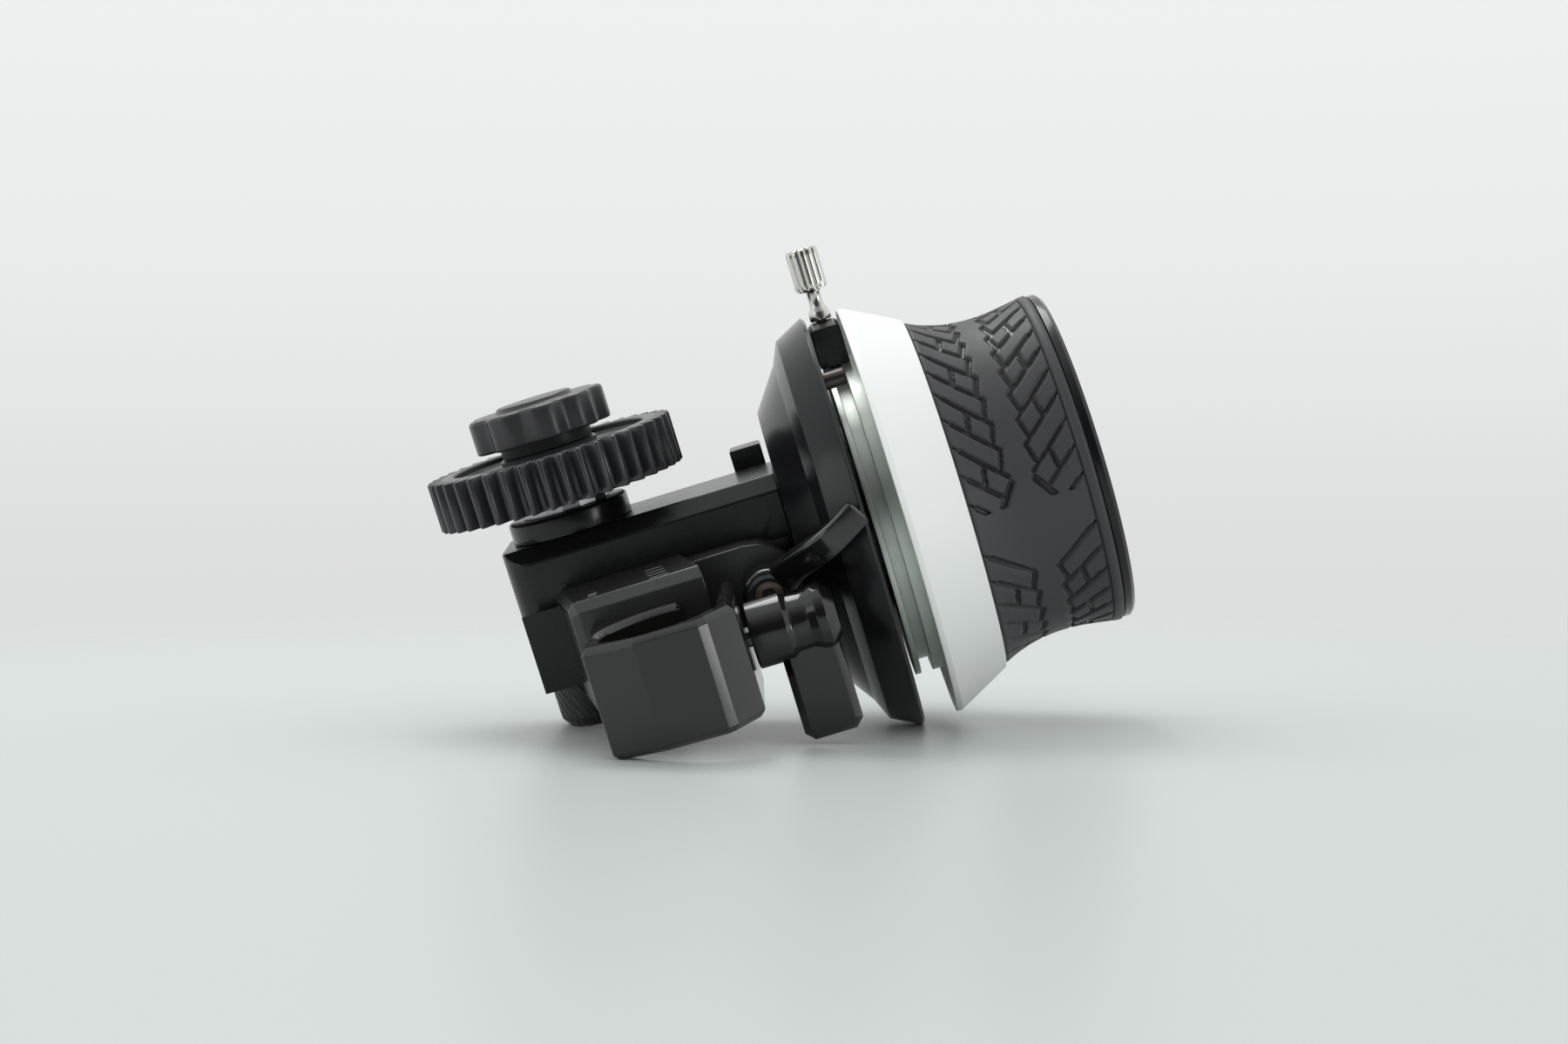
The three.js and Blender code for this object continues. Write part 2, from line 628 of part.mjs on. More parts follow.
function endPlateDisc() {
  const { inset, edge, rimWidth, dish } = endPlate;
  const radius = gripRight - inset;
  const middle = bored(plateHole, sides.large);
  const profile = [
    [plateBack, middle], [plateBack, radius], [plateFace - edge, radius], [plateFace, radius - edge],
    [plateFace, radius - rimWidth], [dishFloor, radius - rimWidth - dish], [dishFloor, middle],
  ];
  return cut(
    turned("x", profile, sides.large),
    ...plateScrewPlaces.map((at) =>
      hole("x", at, plateScrew.shank + fit, plateBack - overrun, plateFace, sides.small),
    ),
  );
}

add("end_plate", endPlateDisc(), blackMetal);
plateScrewPlaces.forEach((at, i) => {
  add(`end_plate_screw_${i + 1}`, capScrew("x", at, plateScrew, plateScrewTip, dishFloor + fit, 1), steel);
});
add("wheel_end_screw", capScrew("x", [0, 0], endScrew, tapped.floor + fit, endScrewSeat + fit, 1), steel);

// Drive shaft: journals, a neck, a square seat for the gear and a stud for the knob

const neckBottom = collarTop + running;
const neckTop = neckBottom + driveShaft.neckHeight;
const gearBottom = neckTop + fit;
const gearTop = gearBottom + driveGear.height;
const squareTop = gearTop - fit;
const studTop = squareTop + driveShaft.studLength;

function squareOutline(side) {
  const half = side / 2;
  const { corner } = driveShaft;
  return eased(rectangle(-half, half, -half, half), [corner, corner, corner, corner], 2);
}

function driveShaftSolid() {
  const { step, neck, square, stud } = driveShaft;
  const low = capFloor + fit;
  const profile = [
    [low, 0], [low, shaft.seat], [step, shaft.seat], [step, shaft.journal], [neckBottom, shaft.journal],
    [neckBottom, neck], [neckTop, neck], [neckTop, 0],
  ];
  return join(
    turned("z", profile, sides.bearing),
    prism("z", squareOutline(square), neckBottom, squareTop),
    pin("z", [0, 0], stud, neckTop, studTop, sides.small),
  );
}

add("drive_shaft", driveShaftSolid(), steel);
add("drive_bevel_gear", bevelGearSolid(Math.PI / bevelTeeth).rotateY(Math.PI / 2), brass);

// Drive gear: forty teeth, with a raised rim and a raised hub on both faces

function driveGearSolid() {
  const { module, rim: rimInner, hub: hubOuter, recess, backlash } = driveGear;
  const pitchRadius = (module * driveTeeth) / 2;
  const heights = [pitchRadius - module * gearDedendumShare, pitchRadius, pitchRadius + module];
  const tooth = toothOutline(pitchRadius, module, heights, backlash);
  const outline = Array.from({ length: driveTeeth }, (_, i) =>
    tooth.map(([radius, turn]) => {
      const angle = (2 * Math.PI * i) / driveTeeth + turn;
      return [radius * Math.cos(angle), radius * Math.sin(angle)];
    }),
  ).flat();
  const groove = (low, high) =>
    turned("z", [[low, hubOuter], [low, rimInner], [high, rimInner], [high, hubOuter]], sides.medium);
  return cut(
    prism("z", outline, gearBottom, gearTop),
    prism("z", squareOutline(driveShaft.square + 2 * fit), gearBottom - overrun, gearTop + overrun),
    groove(gearBottom - overrun, gearBottom + recess),
    groove(gearTop - recess, gearTop + overrun),
  );
}

add("drive_gear", driveGearSolid(), moulded);

// Gear knob: the lobed nut that holds the gear on the square

function gearKnob() {
  const { radius, scallop, height, edge, boss, bossHeight, crown, crownHeight } = knob;
  const bottom = gearTop + running;
  const lobesBottom = bottom + bossHeight;
  const lobesTop = lobesBottom + height;
  const lobesMiddle = (lobesBottom + lobesTop) / 2;
  const outline = Array.from({ length: knobLobes * lobeSteps }, (_, i) => {
    const angle = (2 * Math.PI * i) / (knobLobes * lobeSteps);
    const reach = radius - scallop * ((1 - Math.cos(knobLobes * angle)) / 2) ** lobePower;
    return [reach * Math.cos(angle), reach * Math.sin(angle)];
  });
  return cut(
    join(
      prism("z", outline, lobesBottom, lobesTop, edge),
      pin("z", [0, 0], boss, bottom, lobesMiddle, sides.medium),
      pin("z", [0, 0], crown, lobesMiddle, lobesTop + crownHeight, sides.medium),
    ),
    hole("z", [0, 0], driveShaft.stud + running, bottom - overrun, studTop + running, sides.small),
  );
}

add("gear_knob", gearKnob(), moulded);

// Stops: a block on the ring, a shoe in its groove whose stud rises through the block, and a thumb nut

const blockInner = bored(ringRadius + stopBlock.gap, sides.large);
const blockOuter = ringRadius + stopBlock.height;
const shoeHalf = stopRing.width / 2 - stopRing.wall - running;
const shoeInner = slotFloor + stopShoe.lift;
const shoeOuter = slotMouth - running;
const nutStart = blockOuter + running;
const studEnd = nutStart + stopShoe.studProud;

function sector(half, inner, outer, edge, halfDegrees) {
  const [left, right] = [stopCentre - half, stopCentre + half];
  const profile = [
    [left, inner], [left, outer - edge], [left + edge, outer], [right - edge, outer], [right, outer - edge],
    [right, inner],
  ];
  const far = 2 * outer;
  const wedge = [[0, 0], onCircle(far, -halfDegrees), onCircle(far, halfDegrees)];
  return common(turned("x", profile, sides.large), prism("x", wedge, left - overrun, right + overrun));
}

function blockSolid() {
  const half = stopRing.width / 2 - stopBlock.inset;
  const whole = sector(half, blockInner, blockOuter, stopBlock.edge, stopHalfDegrees);
  return cut(whole, hole("z", [stopCentre, 0], stopShoe.stud + fit, 0, blockOuter + overrun, sides.small));
}

function shoeSolid() {
  const foot = sector(shoeHalf, shoeInner, shoeOuter, 0, shoeHalfDegrees);
  const studStart = between(shoeInner, shoeOuter, 0.5);
  return join(foot, pin("z", [stopCentre, 0], stopShoe.stud, studStart, studEnd, sides.small));
}

function thumbscrewSolid() {
  const { neck, waist, neckHeight, head, headHeight, flute, edge } = thumbscrew;
  const headStart = nutStart + neckHeight;
  const top = headStart + headHeight;
  const profile = [
    [nutStart, 0], [nutStart, neck], [nutStart + neckHeight * neckShares.collar, neck],
    [nutStart + neckHeight * neckShares.waist, waist], [headStart, waist], [headStart, head - edge],
    [headStart + edge, head], [top - edge, head], [top, head - edge], [top, 0],
  ];
  const outline = fluted(head, flute, screwFlutes);
  const whole = common(turned("z", profile, 2 * screwFlutes), prism("z", outline, 0, top + overrun));
  return cut(
    whole.translate(stopCentre, 0, 0),
    hole("z", [stopCentre, 0], stopShoe.stud + running, 0, studEnd + running, sides.small),
  );
}

["a", "b"].forEach((letter, i) => {
  const turn = radians(stopDegrees[i]);
  add(`stop_${letter}_block`, blockSolid().rotateX(turn), blackMetal);
  add(`stop_${letter}_shoe`, shoeSolid().rotateX(turn), steel);
  add(`stop_${letter}_thumbscrew`, thumbscrewSolid().rotateX(turn), nickel);
});

// Slider: runs on the rail and carries the clamp and both levers

const sliderBack = -housing.half - slider.gap;
const plateHalf = rail.faceHalf + slider.plateWall;
const plateEnd = flangeBack - slider.endGap;
const padBack = -railFace - lockPad.gap;
const padFront = padBack - lockPad.thickness;
const baseScrewRight = clampLeft + baseScrew.inset;
const baseScrewPlaces = [baseScrew.high, baseScrew.low].map((below) => [baseScrewRight, -below]);
const baseHeadBack = -railFace - 2 * running - baseScrew.headHeight;
const baseScrewTip = -sliderFront - baseScrew.bite;
const lockAxis = [plateEnd - lockLever.inset, -lockLever.below];

function sliderSolid() {
  const { left, clearance, slant, above, under, edge } = slider;
  const right = armInner - clearance;
  const top = rail.faceHalf - rail.below + above;
  const bottom = rail.faceHalf + rail.below + under;
  const low = left - slant - overrun;
  const plan = [
    [left, -sliderFront], [right, -sliderFront], [right - slant, sliderBack], [left - slant, sliderBack],
  ];
  const section = eased(rectangle(-sliderFront, sliderBack, -bottom, top), [0, 0, 0, edge], 1);
  const plate = eased(
    rectangle(left, plateEnd, -rail.below - plateHalf, -rail.below + plateHalf),
    [0, plateHalf, plateHalf, 0],
    cornerSteps,
  );
  return cut(
    join(
      common(prism("z", plan, -bottom, top), prism("x", section, low, right + overrun)),
      prism("y", plate, -plateFront, sliderBack),
    ),
    prism("x", railOutline(running), low, plateEnd + overrun),
    hole("y", lockAxis, lockPad.radius + fit, padFront - fit, sliderBack, sides.medium),
    hole("y", lockAxis, lockScrew.shank + fit, -plateFront - overrun, sliderBack, sides.small),
    ...baseScrewPlaces.flatMap((at) => [
      hole("y", at, baseScrew.head + fit, baseHeadBack - fit, sliderBack, sides.small),
      hole("y", at, baseScrew.shank + fit, -sliderFront - overrun, sliderBack, sides.small),
    ]),
  );
}

add("slider", sliderSolid(), blackMetal);
add("lock_pad", pin("y", lockAxis, lockPad.radius, padFront, padBack, sides.medium), bronze);

// Rod clamp: a C-shaped jaw around the rod, pinched by the clamp lever's screw

const clampBack = -sliderFront - fit;
const clampScrewStart = clampLeft + clamp.screwStart;

function rodClamp() {
  const { top, bottom, edge, lug: lugReach, screw } = clamp;
  const { cheek, left, leftBack, right, shoulder, corner } = nose;
  const lugRight = rodRight + lugReach;
  const outline = eased(
    [
      [clampLeft, clampBack], [clampLeft, -rodFront - cheek], [rodRight - left, leftBack - clampFront],
      [rodRight + right, -clampFront], [armOuter, -rodFront - shoulder], [armOuter, -armBack],
      [armInner, -armBack], [armInner, -rodFront], [lugRight, -rodFront], [lugRight, clampBack],
    ],
    [0, corner, corner, corner, corner, 0, 0, 0, 0, 0],
    2,
  );
  return cut(
    prism("z", outline, -bottom, top, edge),
    hole("z", [rodRight, -rodFront], rod.radius + running, -bottom - overrun, top + overrun, sides.medium),
    hole("x", clampScrewAxis, screw + running, clampScrewStart - fit, armOuter + overrun, sides.small),
    ...baseScrewPlaces.map((at) =>
      hole("y", at, baseScrew.shank + fit, baseScrewTip - fit, clampBack + overrun, sides.small),
    ),
  );
}

add("rod_clamp", rodClamp(), blackMetal);
baseScrewPlaces.forEach((at, i) => {
  add(`clamp_base_screw_${i + 1}`, capScrew("y", at, baseScrew, baseScrewTip, baseHeadBack, 1), steel);
});

// Clamp lever: a turned knob with a flat blade, and the screw that it drives

const clampBoreEnd = clampLeverStart + clampLever.bore;

function clampLeverSolid() {
  const { length, hub: hubSize, hubTo, waist, bulbFrom, bulbTo, endRadius } = clampLever;
  const { bladeFrom, bladeTo, bladeLength, bladeHalf, bladeEdge } = clampLever;
  const start = clampLeverStart;
  const profile = [
    [start, 0], [start, hubSize], [start + hubTo, hubSize], [start + (hubTo + bulbFrom) / 2, waist],
    [start + bulbFrom, hubSize], [start + bulbTo, hubSize], [start + length, endRadius], [start + length, 0],
  ];
  const corners = rectangle(start + bladeFrom, start + bladeTo, -bladeLength, 0);
  const blade = eased(corners, [bladeEdge, bladeEdge, 0, 0], 1);
  return cut(
    join(turned("x", profile, sides.medium), prism("y", blade, -bladeHalf, bladeHalf, bladeEdge)),
    hole("x", [0, 0], clamp.screw + fit, start - overrun, clampBoreEnd, sides.small),
  ).translate(0, ...clampScrewAxis);
}

add("clamp_lever", clampLeverSolid(), blackMetal);
const clampScrew = pin("x", clampScrewAxis, clamp.screw, clampScrewStart, clampBoreEnd - fit, sides.small);
add("clamp_screw", clampScrew, steel);

// Lock lever: an S-shaped arm that reaches round the flange, on a hub with a bright screw

const lockBack = plateFront + lockLever.gap;
const lockFront = lockBack + lockLever.height;
const lockHeadBack = lockScrew.headHeight - lockFront;

function lockLeverSolid() {
  const { hub: hubSize, width, reach, flangeGap, arm: armThickness, edge } = lockLever;
  const { backBend, backRise, backEnd, frontBend, frontRise, frontEnd } = lockArmShares;
  const armStart = lockBack + hubSize;
  const tipBack = flangeRadius + flangeGap;
  const tipFront = tipBack + armThickness;
  const outline = [
    [0, -armStart], [hubSize, -armStart - edge], [reach * backBend, -between(armStart, tipBack, backRise)],
    [reach * backEnd, -tipBack], [reach, -tipBack], [reach, -tipFront], [reach * frontEnd, -tipFront],
    [reach * frontBend, -between(lockFront, tipFront, frontRise)], [hubSize, -lockFront - edge],
    [0, -lockFront],
  ];
  const arm = prism("z", outline, -width / 2, width / 2, edge / 2).rotateY(-radians(lockLeverDegrees));
  const [right, height] = lockAxis;
  return cut(
    join(pin("y", [0, 0], hubSize, -lockFront, -lockBack, sides.medium), arm),
    hole("y", [0, 0], lockScrew.shank + fit, -lockFront - overrun, -lockBack + overrun, sides.small),
    hole("y", [0, 0], lockScrew.head + fit, -tipFront, lockHeadBack + fit, sides.small),
  ).translate(right, 0, height);
}

add("lock_lever", lockLeverSolid(), blackMetal);
add("lock_screw", capScrew("y", lockAxis, lockScrew, padFront - fit, lockHeadBack, -1), nickel);

// The origin moves to the centre of the rod's bore.
followFocus.position.set(-rodRight, rodFront, -clampMiddle);

export default followFocus;
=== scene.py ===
# %% [markdown]
# A mini follow focus, dressed for its portrait. The CAD model gives the frame: every node has its real
# place and size. This file adds what a milled, moulded and turned object shows up close, such as rounded
# edges, gear teeth, a rubber tread and the finishes. Distances are written in millimetres from the point
# where the two gear axes cross, because the object was measured from there. X runs along the wheel's axis
# towards the grip, Z along the drive gear's axis, and Y away from the rod clamp.

import json
import math

import bmesh
import bpy
import numpy as np
from mathutils import Matrix


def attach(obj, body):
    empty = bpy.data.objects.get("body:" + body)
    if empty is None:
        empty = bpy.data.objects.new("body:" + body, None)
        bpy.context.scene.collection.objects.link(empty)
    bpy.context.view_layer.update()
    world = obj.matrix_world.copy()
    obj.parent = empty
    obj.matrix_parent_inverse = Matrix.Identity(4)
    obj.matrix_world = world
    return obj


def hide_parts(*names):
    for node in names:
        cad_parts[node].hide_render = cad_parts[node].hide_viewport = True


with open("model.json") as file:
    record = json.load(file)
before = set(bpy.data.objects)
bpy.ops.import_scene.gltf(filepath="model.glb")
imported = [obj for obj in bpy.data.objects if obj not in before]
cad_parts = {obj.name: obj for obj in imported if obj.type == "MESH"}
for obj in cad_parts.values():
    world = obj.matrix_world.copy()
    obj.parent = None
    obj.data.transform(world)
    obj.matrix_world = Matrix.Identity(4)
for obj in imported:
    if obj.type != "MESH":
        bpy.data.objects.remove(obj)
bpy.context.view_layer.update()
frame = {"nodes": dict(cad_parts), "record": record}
CROSSING = np.array([-10.0, 38.0, 5.75])  # where the gear axes cross, in millimetres from the frame's origin
MM = 0.001
FINE_ROUND = 192  # points round a large turned piece
SAME_PLACE = 1e-7  # metres: points nearer than this are merged

# %% [markdown]
# Three small tools shape almost everything here. The first rounds the corners of an outline, since no real
# edge is perfectly sharp. The second turns a profile about an axis, as a lathe does. The third lays faces
# over a grid of points. All of them work on whole numpy arrays, so a change of one number changes the piece.

# %% Round the corners of an outline
def unit(vectors):
    """v / |v|, row by row."""
    return vectors / np.maximum(np.linalg.norm(vectors, axis=-1, keepdims=True), 1e-12)


def rounded(corners, radii, steps=4):
    """Each corner p becomes an arc. With h half its angle and m the unit vector that halves it, the arc's
    centre is p + m r / sin h. It starts and ends r / tan h from p along the two sides."""
    p = np.asarray(corners, float)
    r = np.broadcast_to(np.asarray(radii, float), len(p))[:, None]
    kept = (r > 0) | (np.arange(steps + 1) == 0)  # a sharp corner stays one point
    back, ahead = unit(np.roll(p, 1, 0) - p), unit(np.roll(p, -1, 0) - p)
    half = np.arccos(np.clip((back * ahead).sum(1, keepdims=True), -1, 1)) / 2
    centre = unit(back + ahead) * r / np.maximum(np.sin(half), 1e-9)
    start = back * r / np.maximum(np.tan(half), 1e-9) - centre
    end = ahead * r / np.maximum(np.tan(half), 1e-9) - centre
    crossed = start[:, :1] * end[:, 1:] - start[:, 1:] * end[:, :1]
    swing = np.arctan2(crossed, (start * end).sum(1, keepdims=True))
    turn = swing * np.linspace(0, 1, steps + 1)
    spoke_u = start[:, :1] * np.cos(turn) - start[:, 1:] * np.sin(turn)
    spoke_v = start[:, :1] * np.sin(turn) + start[:, 1:] * np.cos(turn)
    arc = (p + centre)[:, None] + np.stack([spoke_u, spoke_v], -1)
    return np.where(r[:, None] > 0, arc, p[:, None])[kept]


def inset(corners, amount):
    """Every side moves inwards by the amount. With n and m the outward normals of the two sides at a corner,
    the corner moves by -amount (n + m) / (1 + n.m). The outline runs anticlockwise."""
    p = np.asarray(corners, float)
    ahead = unit(np.roll(p, -1, 0) - p)
    normal = np.stack([ahead[:, 1], -ahead[:, 0]], -1)
    before = np.roll(normal, 1, 0)
    return p - amount * (normal + before) / (1 + (normal * before).sum(1, keepdims=True))


square = inset([[0, 0], [1, 0], [1, 1], [0, 1]], 0.1)
print("a square pulled in by 0.1 starts at", square[0])
print("with round corners it has", len(rounded(square, 0.2)), "points")


# %% Turn a profile about an axis
def along(axis, a, r, angle, centre=(0, 0)):
    """Places at the distance r from an axis: about x it is (a, -r sin, r cos), about y (r cos, a, r sin)
    and about z (r cos, r sin, a), each from the axis that passes through the centre."""
    u, v = centre
    a = np.broadcast_to(a, np.broadcast(r, angle).shape)
    if axis == "x":
        return np.stack([a, u - r * np.sin(angle), v + r * np.cos(angle)], -1)
    if axis == "y":
        return np.stack([u + r * np.cos(angle), a, v + r * np.sin(angle)], -1)
    return np.stack([u + r * np.cos(angle), v + r * np.sin(angle), a], -1)


def lathe(axis, profile, count, centre=(0, 0), wave=None):
    """Point (i, j) lies at angle 2 pi j / count, at the distance a_i along the axis and r_i from it. The
    wave, where there is one, changes r by its own rule of a, r and the angle."""
    angle = 2 * np.pi * np.arange(count) / count
    a, r = (np.asarray(profile, float)[:, i, None] for i in (0, 1))
    reach = r + np.zeros(count) if wave is None else wave(a, r, angle[None])
    return along(axis, a, reach, angle[None], centre)


def swung(points, degrees):
    """The points turned about the wheel's axis: y cos - z sin and y sin + z cos."""
    x, y, z = np.moveaxis(points, -1, 0)
    turn = math.radians(degrees)
    return np.stack([x, y * np.cos(turn) - z * np.sin(turn), y * np.sin(turn) + z * np.cos(turn)], -1)


print("a ring of 8:", lathe("x", [[0, 1]], 8).shape)


# %% Lay faces over the points and make a piece of them
def skin(grid, tube=False):
    """Four neighbours (i, j), (i, j + 1), (i + 1, j + 1), (i + 1, j) make a face. The columns always close
    on themselves, and in a tube the rows do too."""
    index = np.arange(grid.shape[0] * grid.shape[1]).reshape(grid.shape[:2])
    rows = np.vstack([index, index[:1]]) if tube else index
    net = np.hstack([rows, rows[:, :1]])
    faces = np.stack([net[:-1, :-1], net[:-1, 1:], net[1:, 1:], net[1:, :-1]], -1).reshape(-1, 4)
    return grid.reshape(-1, 3), faces.tolist()


def capped(grid):
    """A skin whose first and last rows are each closed with one flat face."""
    points, faces = skin(grid)
    first = list(range(grid.shape[1]))
    last = list(range(len(points) - grid.shape[1], len(points)))
    return points, faces + [first, last]


def dress(obj, material, body, nodes=()):
    """Gives a piece its finish and the body that it moves with, and hides the CAD nodes that it stands for.
    """
    obj.data.materials.clear()
    for one in material if isinstance(material, list) else [material]:
        obj.data.materials.append(one)
    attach(obj, body)
    if nodes:
        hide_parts(*nodes)
    print(obj.name, len(obj.data.polygons), "faces, on", body)
    return obj


def mesh_points(mesh):
    """The mesh's corners in metres, one row each."""
    flat = np.empty(len(mesh.vertices) * 3)
    mesh.vertices.foreach_get("co", flat)
    return flat.reshape(-1, 3)


def stand(name, mesh, sharp):
    """Puts the mesh into the scene, smooth except across edges sharper than the given angle in degrees."""
    mesh.shade_smooth()
    mesh.set_sharp_from_angle(angle=math.radians(sharp))
    obj = bpy.data.objects.new(name, mesh)
    bpy.context.scene.collection.objects.link(obj)
    return obj


def piece(name, skins, sharp=35, finish_numbers=None):
    """All skins of a piece become one mesh in the frame's metres: doubles merged and faces turned outwards.
    The finish numbers, where there are any, say for each face which of the piece's finishes it takes."""
    points, faces = [], []
    for part, sides in skins:
        start = sum(len(block) for block in points)
        points.append(part)
        faces += [[corner + start for corner in side] for side in sides]
    mesh = bpy.data.meshes.new(name)
    mesh.from_pydata(((np.vstack(points) + CROSSING) * MM).tolist(), [], faces)
    if finish_numbers is not None:
        mesh.polygons.foreach_set("material_index", finish_numbers.astype(np.int32))
    body = bmesh.new()
    body.from_mesh(mesh)
    bmesh.ops.remove_doubles(body, verts=body.verts, dist=SAME_PLACE)
    bmesh.ops.recalc_face_normals(body, faces=body.faces)
    body.to_mesh(mesh)
    body.free()
    return stand(name, mesh, sharp)


# %% [markdown]
# Milled pieces, such as the gearbox and the slider, already have their main shape in the CAD. What they lack
# is the narrow broken edge that catches the light. A copy of the CAD solid is merged into proper faces, and
# a Bevel modifier rounds every edge that is sharper than 30 degrees.

# %% Copy a CAD solid and break its edges
MILLED_SHARP = 30  # degrees
EDGE_SEGMENTS = 2
NEAR_FACE, PAST_FRONT, BELOW_TOP = 0.25, 0.1, 1.5  # millimetres within which a point counts as part of it


def chamfer_left_end(mesh, x, y, slant, top, size):
    """The left face lies at x - slant (v - y) for a point at the depth v. It moves out by the size, and its
    front edge and its top edge get a chamfer of that size."""
    points = mesh_points(mesh)
    place = points / MM - CROSSING
    on_left = np.abs(place[:, 0] - (x - slant * (place[:, 1] - y))) < NEAR_FACE
    in_front = place[:, 1] < y + PAST_FRONT
    at_top = place[:, 2] > top - BELOW_TOP
    ends = np.empty(len(mesh.edges) * 2, np.int32)
    mesh.edges.foreach_get("vertices", ends)
    ends = ends.reshape(-1, 2)
    chosen = on_left[ends].all(1) & (in_front[ends].all(1) | at_top[ends].all(1))
    points[on_left, 0] -= size * MM
    mesh.vertices.foreach_set("co", points.ravel())
    body = bmesh.new()
    body.from_mesh(mesh)
    body.edges.ensure_lookup_table()
    edges = [body.edges[i] for i in np.flatnonzero(chosen)]
    bmesh.ops.bevel(body, geom=edges, offset=size * MM, segments=1, affect="EDGES", clamp_overlap=True)
    body.to_mesh(mesh)
    body.free()
    print(mesh.name, "chamfered", len(edges), "edges")


def milled(name, node, width, wider=1.0, left_end=None):
    """A copy of the node: doubles merged, flat areas joined, then edges rounded by the width in mm. Along the
    wheel's axis every point goes to middle + wider (x - middle)."""
    body = bmesh.new()
    body.from_mesh(frame["nodes"][node].data)
    bmesh.ops.remove_doubles(body, verts=body.verts, dist=2 * SAME_PLACE)
    bmesh.ops.dissolve_limit(body, angle_limit=math.radians(0.4), verts=body.verts, edges=body.edges)
    mesh = bpy.data.meshes.new(name)
    body.to_mesh(mesh)
    body.free()
    points = mesh_points(mesh)
    middle = points[:, 0].mean()
    points[:, 0] = middle + (points[:, 0] - middle) * wider
    mesh.vertices.foreach_set("co", points.ravel())
    if left_end is not None:
        chamfer_left_end(mesh, **left_end)
    obj = stand(name, mesh, MILLED_SHARP)
    edge = obj.modifiers.new("broken edge", "BEVEL")
    edge.width = width * MM
    edge.segments = EDGE_SEGMENTS
    edge.limit_method = "ANGLE"
    edge.angle_limit = math.radians(MILLED_SHARP)
    edge.use_clamp_overlap = False
    edge.harden_normals = True
    return obj


# %% [markdown]
# Finishes come next. Black anodised aluminium is a thin hard skin over bead-blasted metal: almost black, with
# a fine grain and a soft sheen. Each finish has three layers of noise. A fine one is the grain and goes into
# the bump, a middle one varies how shiny the surface is, and a wide one varies the tone a little. The black
# pieces differ in depth and gloss, so turned, milled and bent ones each have a finish of their own. The
# slider's tone is lighter than the others', which is painted light: it stands in for the light that falls on
# its top.

# %% Build a finish from noise
TONE_PATCH, GLOSS_PATCH = 6, 1.3  # sizes of the wide and the middle noise in millimetres


def add_node(tree, kind, sockets=None, **settings):
    """Adds a node. A socket, called by its name or number, takes a value or is linked to another's output."""
    node = tree.nodes.new(kind)
    for setting, value in settings.items():
        setattr(node, setting, value)
    for socket, value in (sockets or {}).items():
        if isinstance(value, bpy.types.NodeSocket):
            tree.links.new(value, node.inputs[socket])
        else:
            node.inputs[socket].default_value = value
    return node


def finish(name, tone, rough, metal=0.0, grain=0.12, bump=0.004, vary=0.12, shine=0.06, specular=0.5):
    """tone and rough are the middle values, grain the size of a grain in mm, bump its height in mm."""
    material = bpy.data.materials.new(name)
    material.use_nodes = True
    tree = material.node_tree
    shader = tree.nodes["Principled BSDF"]
    shader.inputs["Metallic"].default_value = metal
    shader.inputs["Specular IOR Level"].default_value = specular
    place = add_node(tree, "ShaderNodeTexCoord").outputs["Object"]

    def noise(size, detail):
        sockets = {"Scale": 1 / (size * MM), "Detail": detail, "Vector": place}
        return add_node(tree, "ShaderNodeTexNoise", sockets).outputs["Fac"]

    tones = {
        "A": (*(c * (1 - vary) for c in tone), 1),
        "B": (*(min(1, c * (1 + vary)) for c in tone), 1),
        "Factor": noise(TONE_PATCH, 2),
    }
    gloss = {"To Min": max(0.02, rough - shine), "To Max": rough + shine, "Value": noise(GLOSS_PATCH, 4)}
    relief = {"Distance": bump * MM, "Height": noise(grain, 3)}
    tones = add_node(tree, "ShaderNodeMix", tones, data_type="RGBA")
    gloss = add_node(tree, "ShaderNodeMapRange", gloss)
    relief = add_node(tree, "ShaderNodeBump", relief)
    tree.links.new(tones.outputs["Result"], shader.inputs["Base Color"])
    tree.links.new(gloss.outputs["Result"], shader.inputs["Roughness"])
    tree.links.new(relief.outputs["Normal"], shader.inputs["Normal"])
    return material


black = finish(
    "black_anodised", (0.0055, 0.0055, 0.006), 0.27, grain=0.15, bump=0.0005, shine=0.04, specular=0.42
)
# Painted light: the slider's tone is lighter, standing in for the light on its top.
slider_black_painted_light = finish(
    "black_anodised_slider_painted_light", (0.017, 0.017, 0.0168), 0.28, bump=0.0004, shine=0.03, specular=0.6
)
clamp_black = finish(
    "black_anodised_clamp", (0.0075, 0.0072, 0.0068), 0.15, bump=0.0006, shine=0.03, specular=0.7
)
glossy_black = finish(
    "black_anodised_turned", (0.006, 0.006, 0.007), 0.2, bump=0.0006, shine=0.03, specular=0.42
)
lever_black = finish(
    "black_anodised_lever", (0.006, 0.006, 0.007), 0.17, bump=0.0006, shine=0.03, specular=0.9
)
moulded = finish("moulded_plastic", (0.024, 0.0255, 0.027), 0.33, grain=0.2, bump=0.002, specular=0.6)
gear_plastic = finish("moulded_gear", (0.027, 0.029, 0.031), 0.3, grain=0.2, bump=0.002, specular=0.7)
white = finish("white_plastic", (0.82, 0.83, 0.825), 0.45, grain=0.3, bump=0.003, vary=0.01, shine=0.04)
steel = finish("steel", (0.42, 0.43, 0.44), 0.28, metal=1.0, bump=0.002)
bronze = finish("bronze", (0.42, 0.27, 0.13), 0.38, metal=1.0)
brass = finish("brass", (0.52, 0.38, 0.16), 0.33, metal=1.0)
warm_steel = finish("screw_steel", (0.34, 0.27, 0.22), 0.3, metal=1.0)
dark_steel = finish("dark_steel", (0.10, 0.085, 0.08), 0.35, metal=1.0)
polished = finish("polished_edge", (0.74, 0.85, 0.81), 0.36, metal=1.0, bump=0.001)
print(len(bpy.data.materials), "materials")


# %% [markdown]
# The stop ring and the thumb nuts are nickel-plated. A turned ring shows fine rings from the tool, which run
# round the axis. Noise that reads only the place along the axis and the distance from it gives exactly such
# rings, because it is the same all the way round.

# %% A turned metal finish
TOOL_LINE, TOOL_MARK = 0.09, 0.002  # width and height of the tool's rings in millimetres


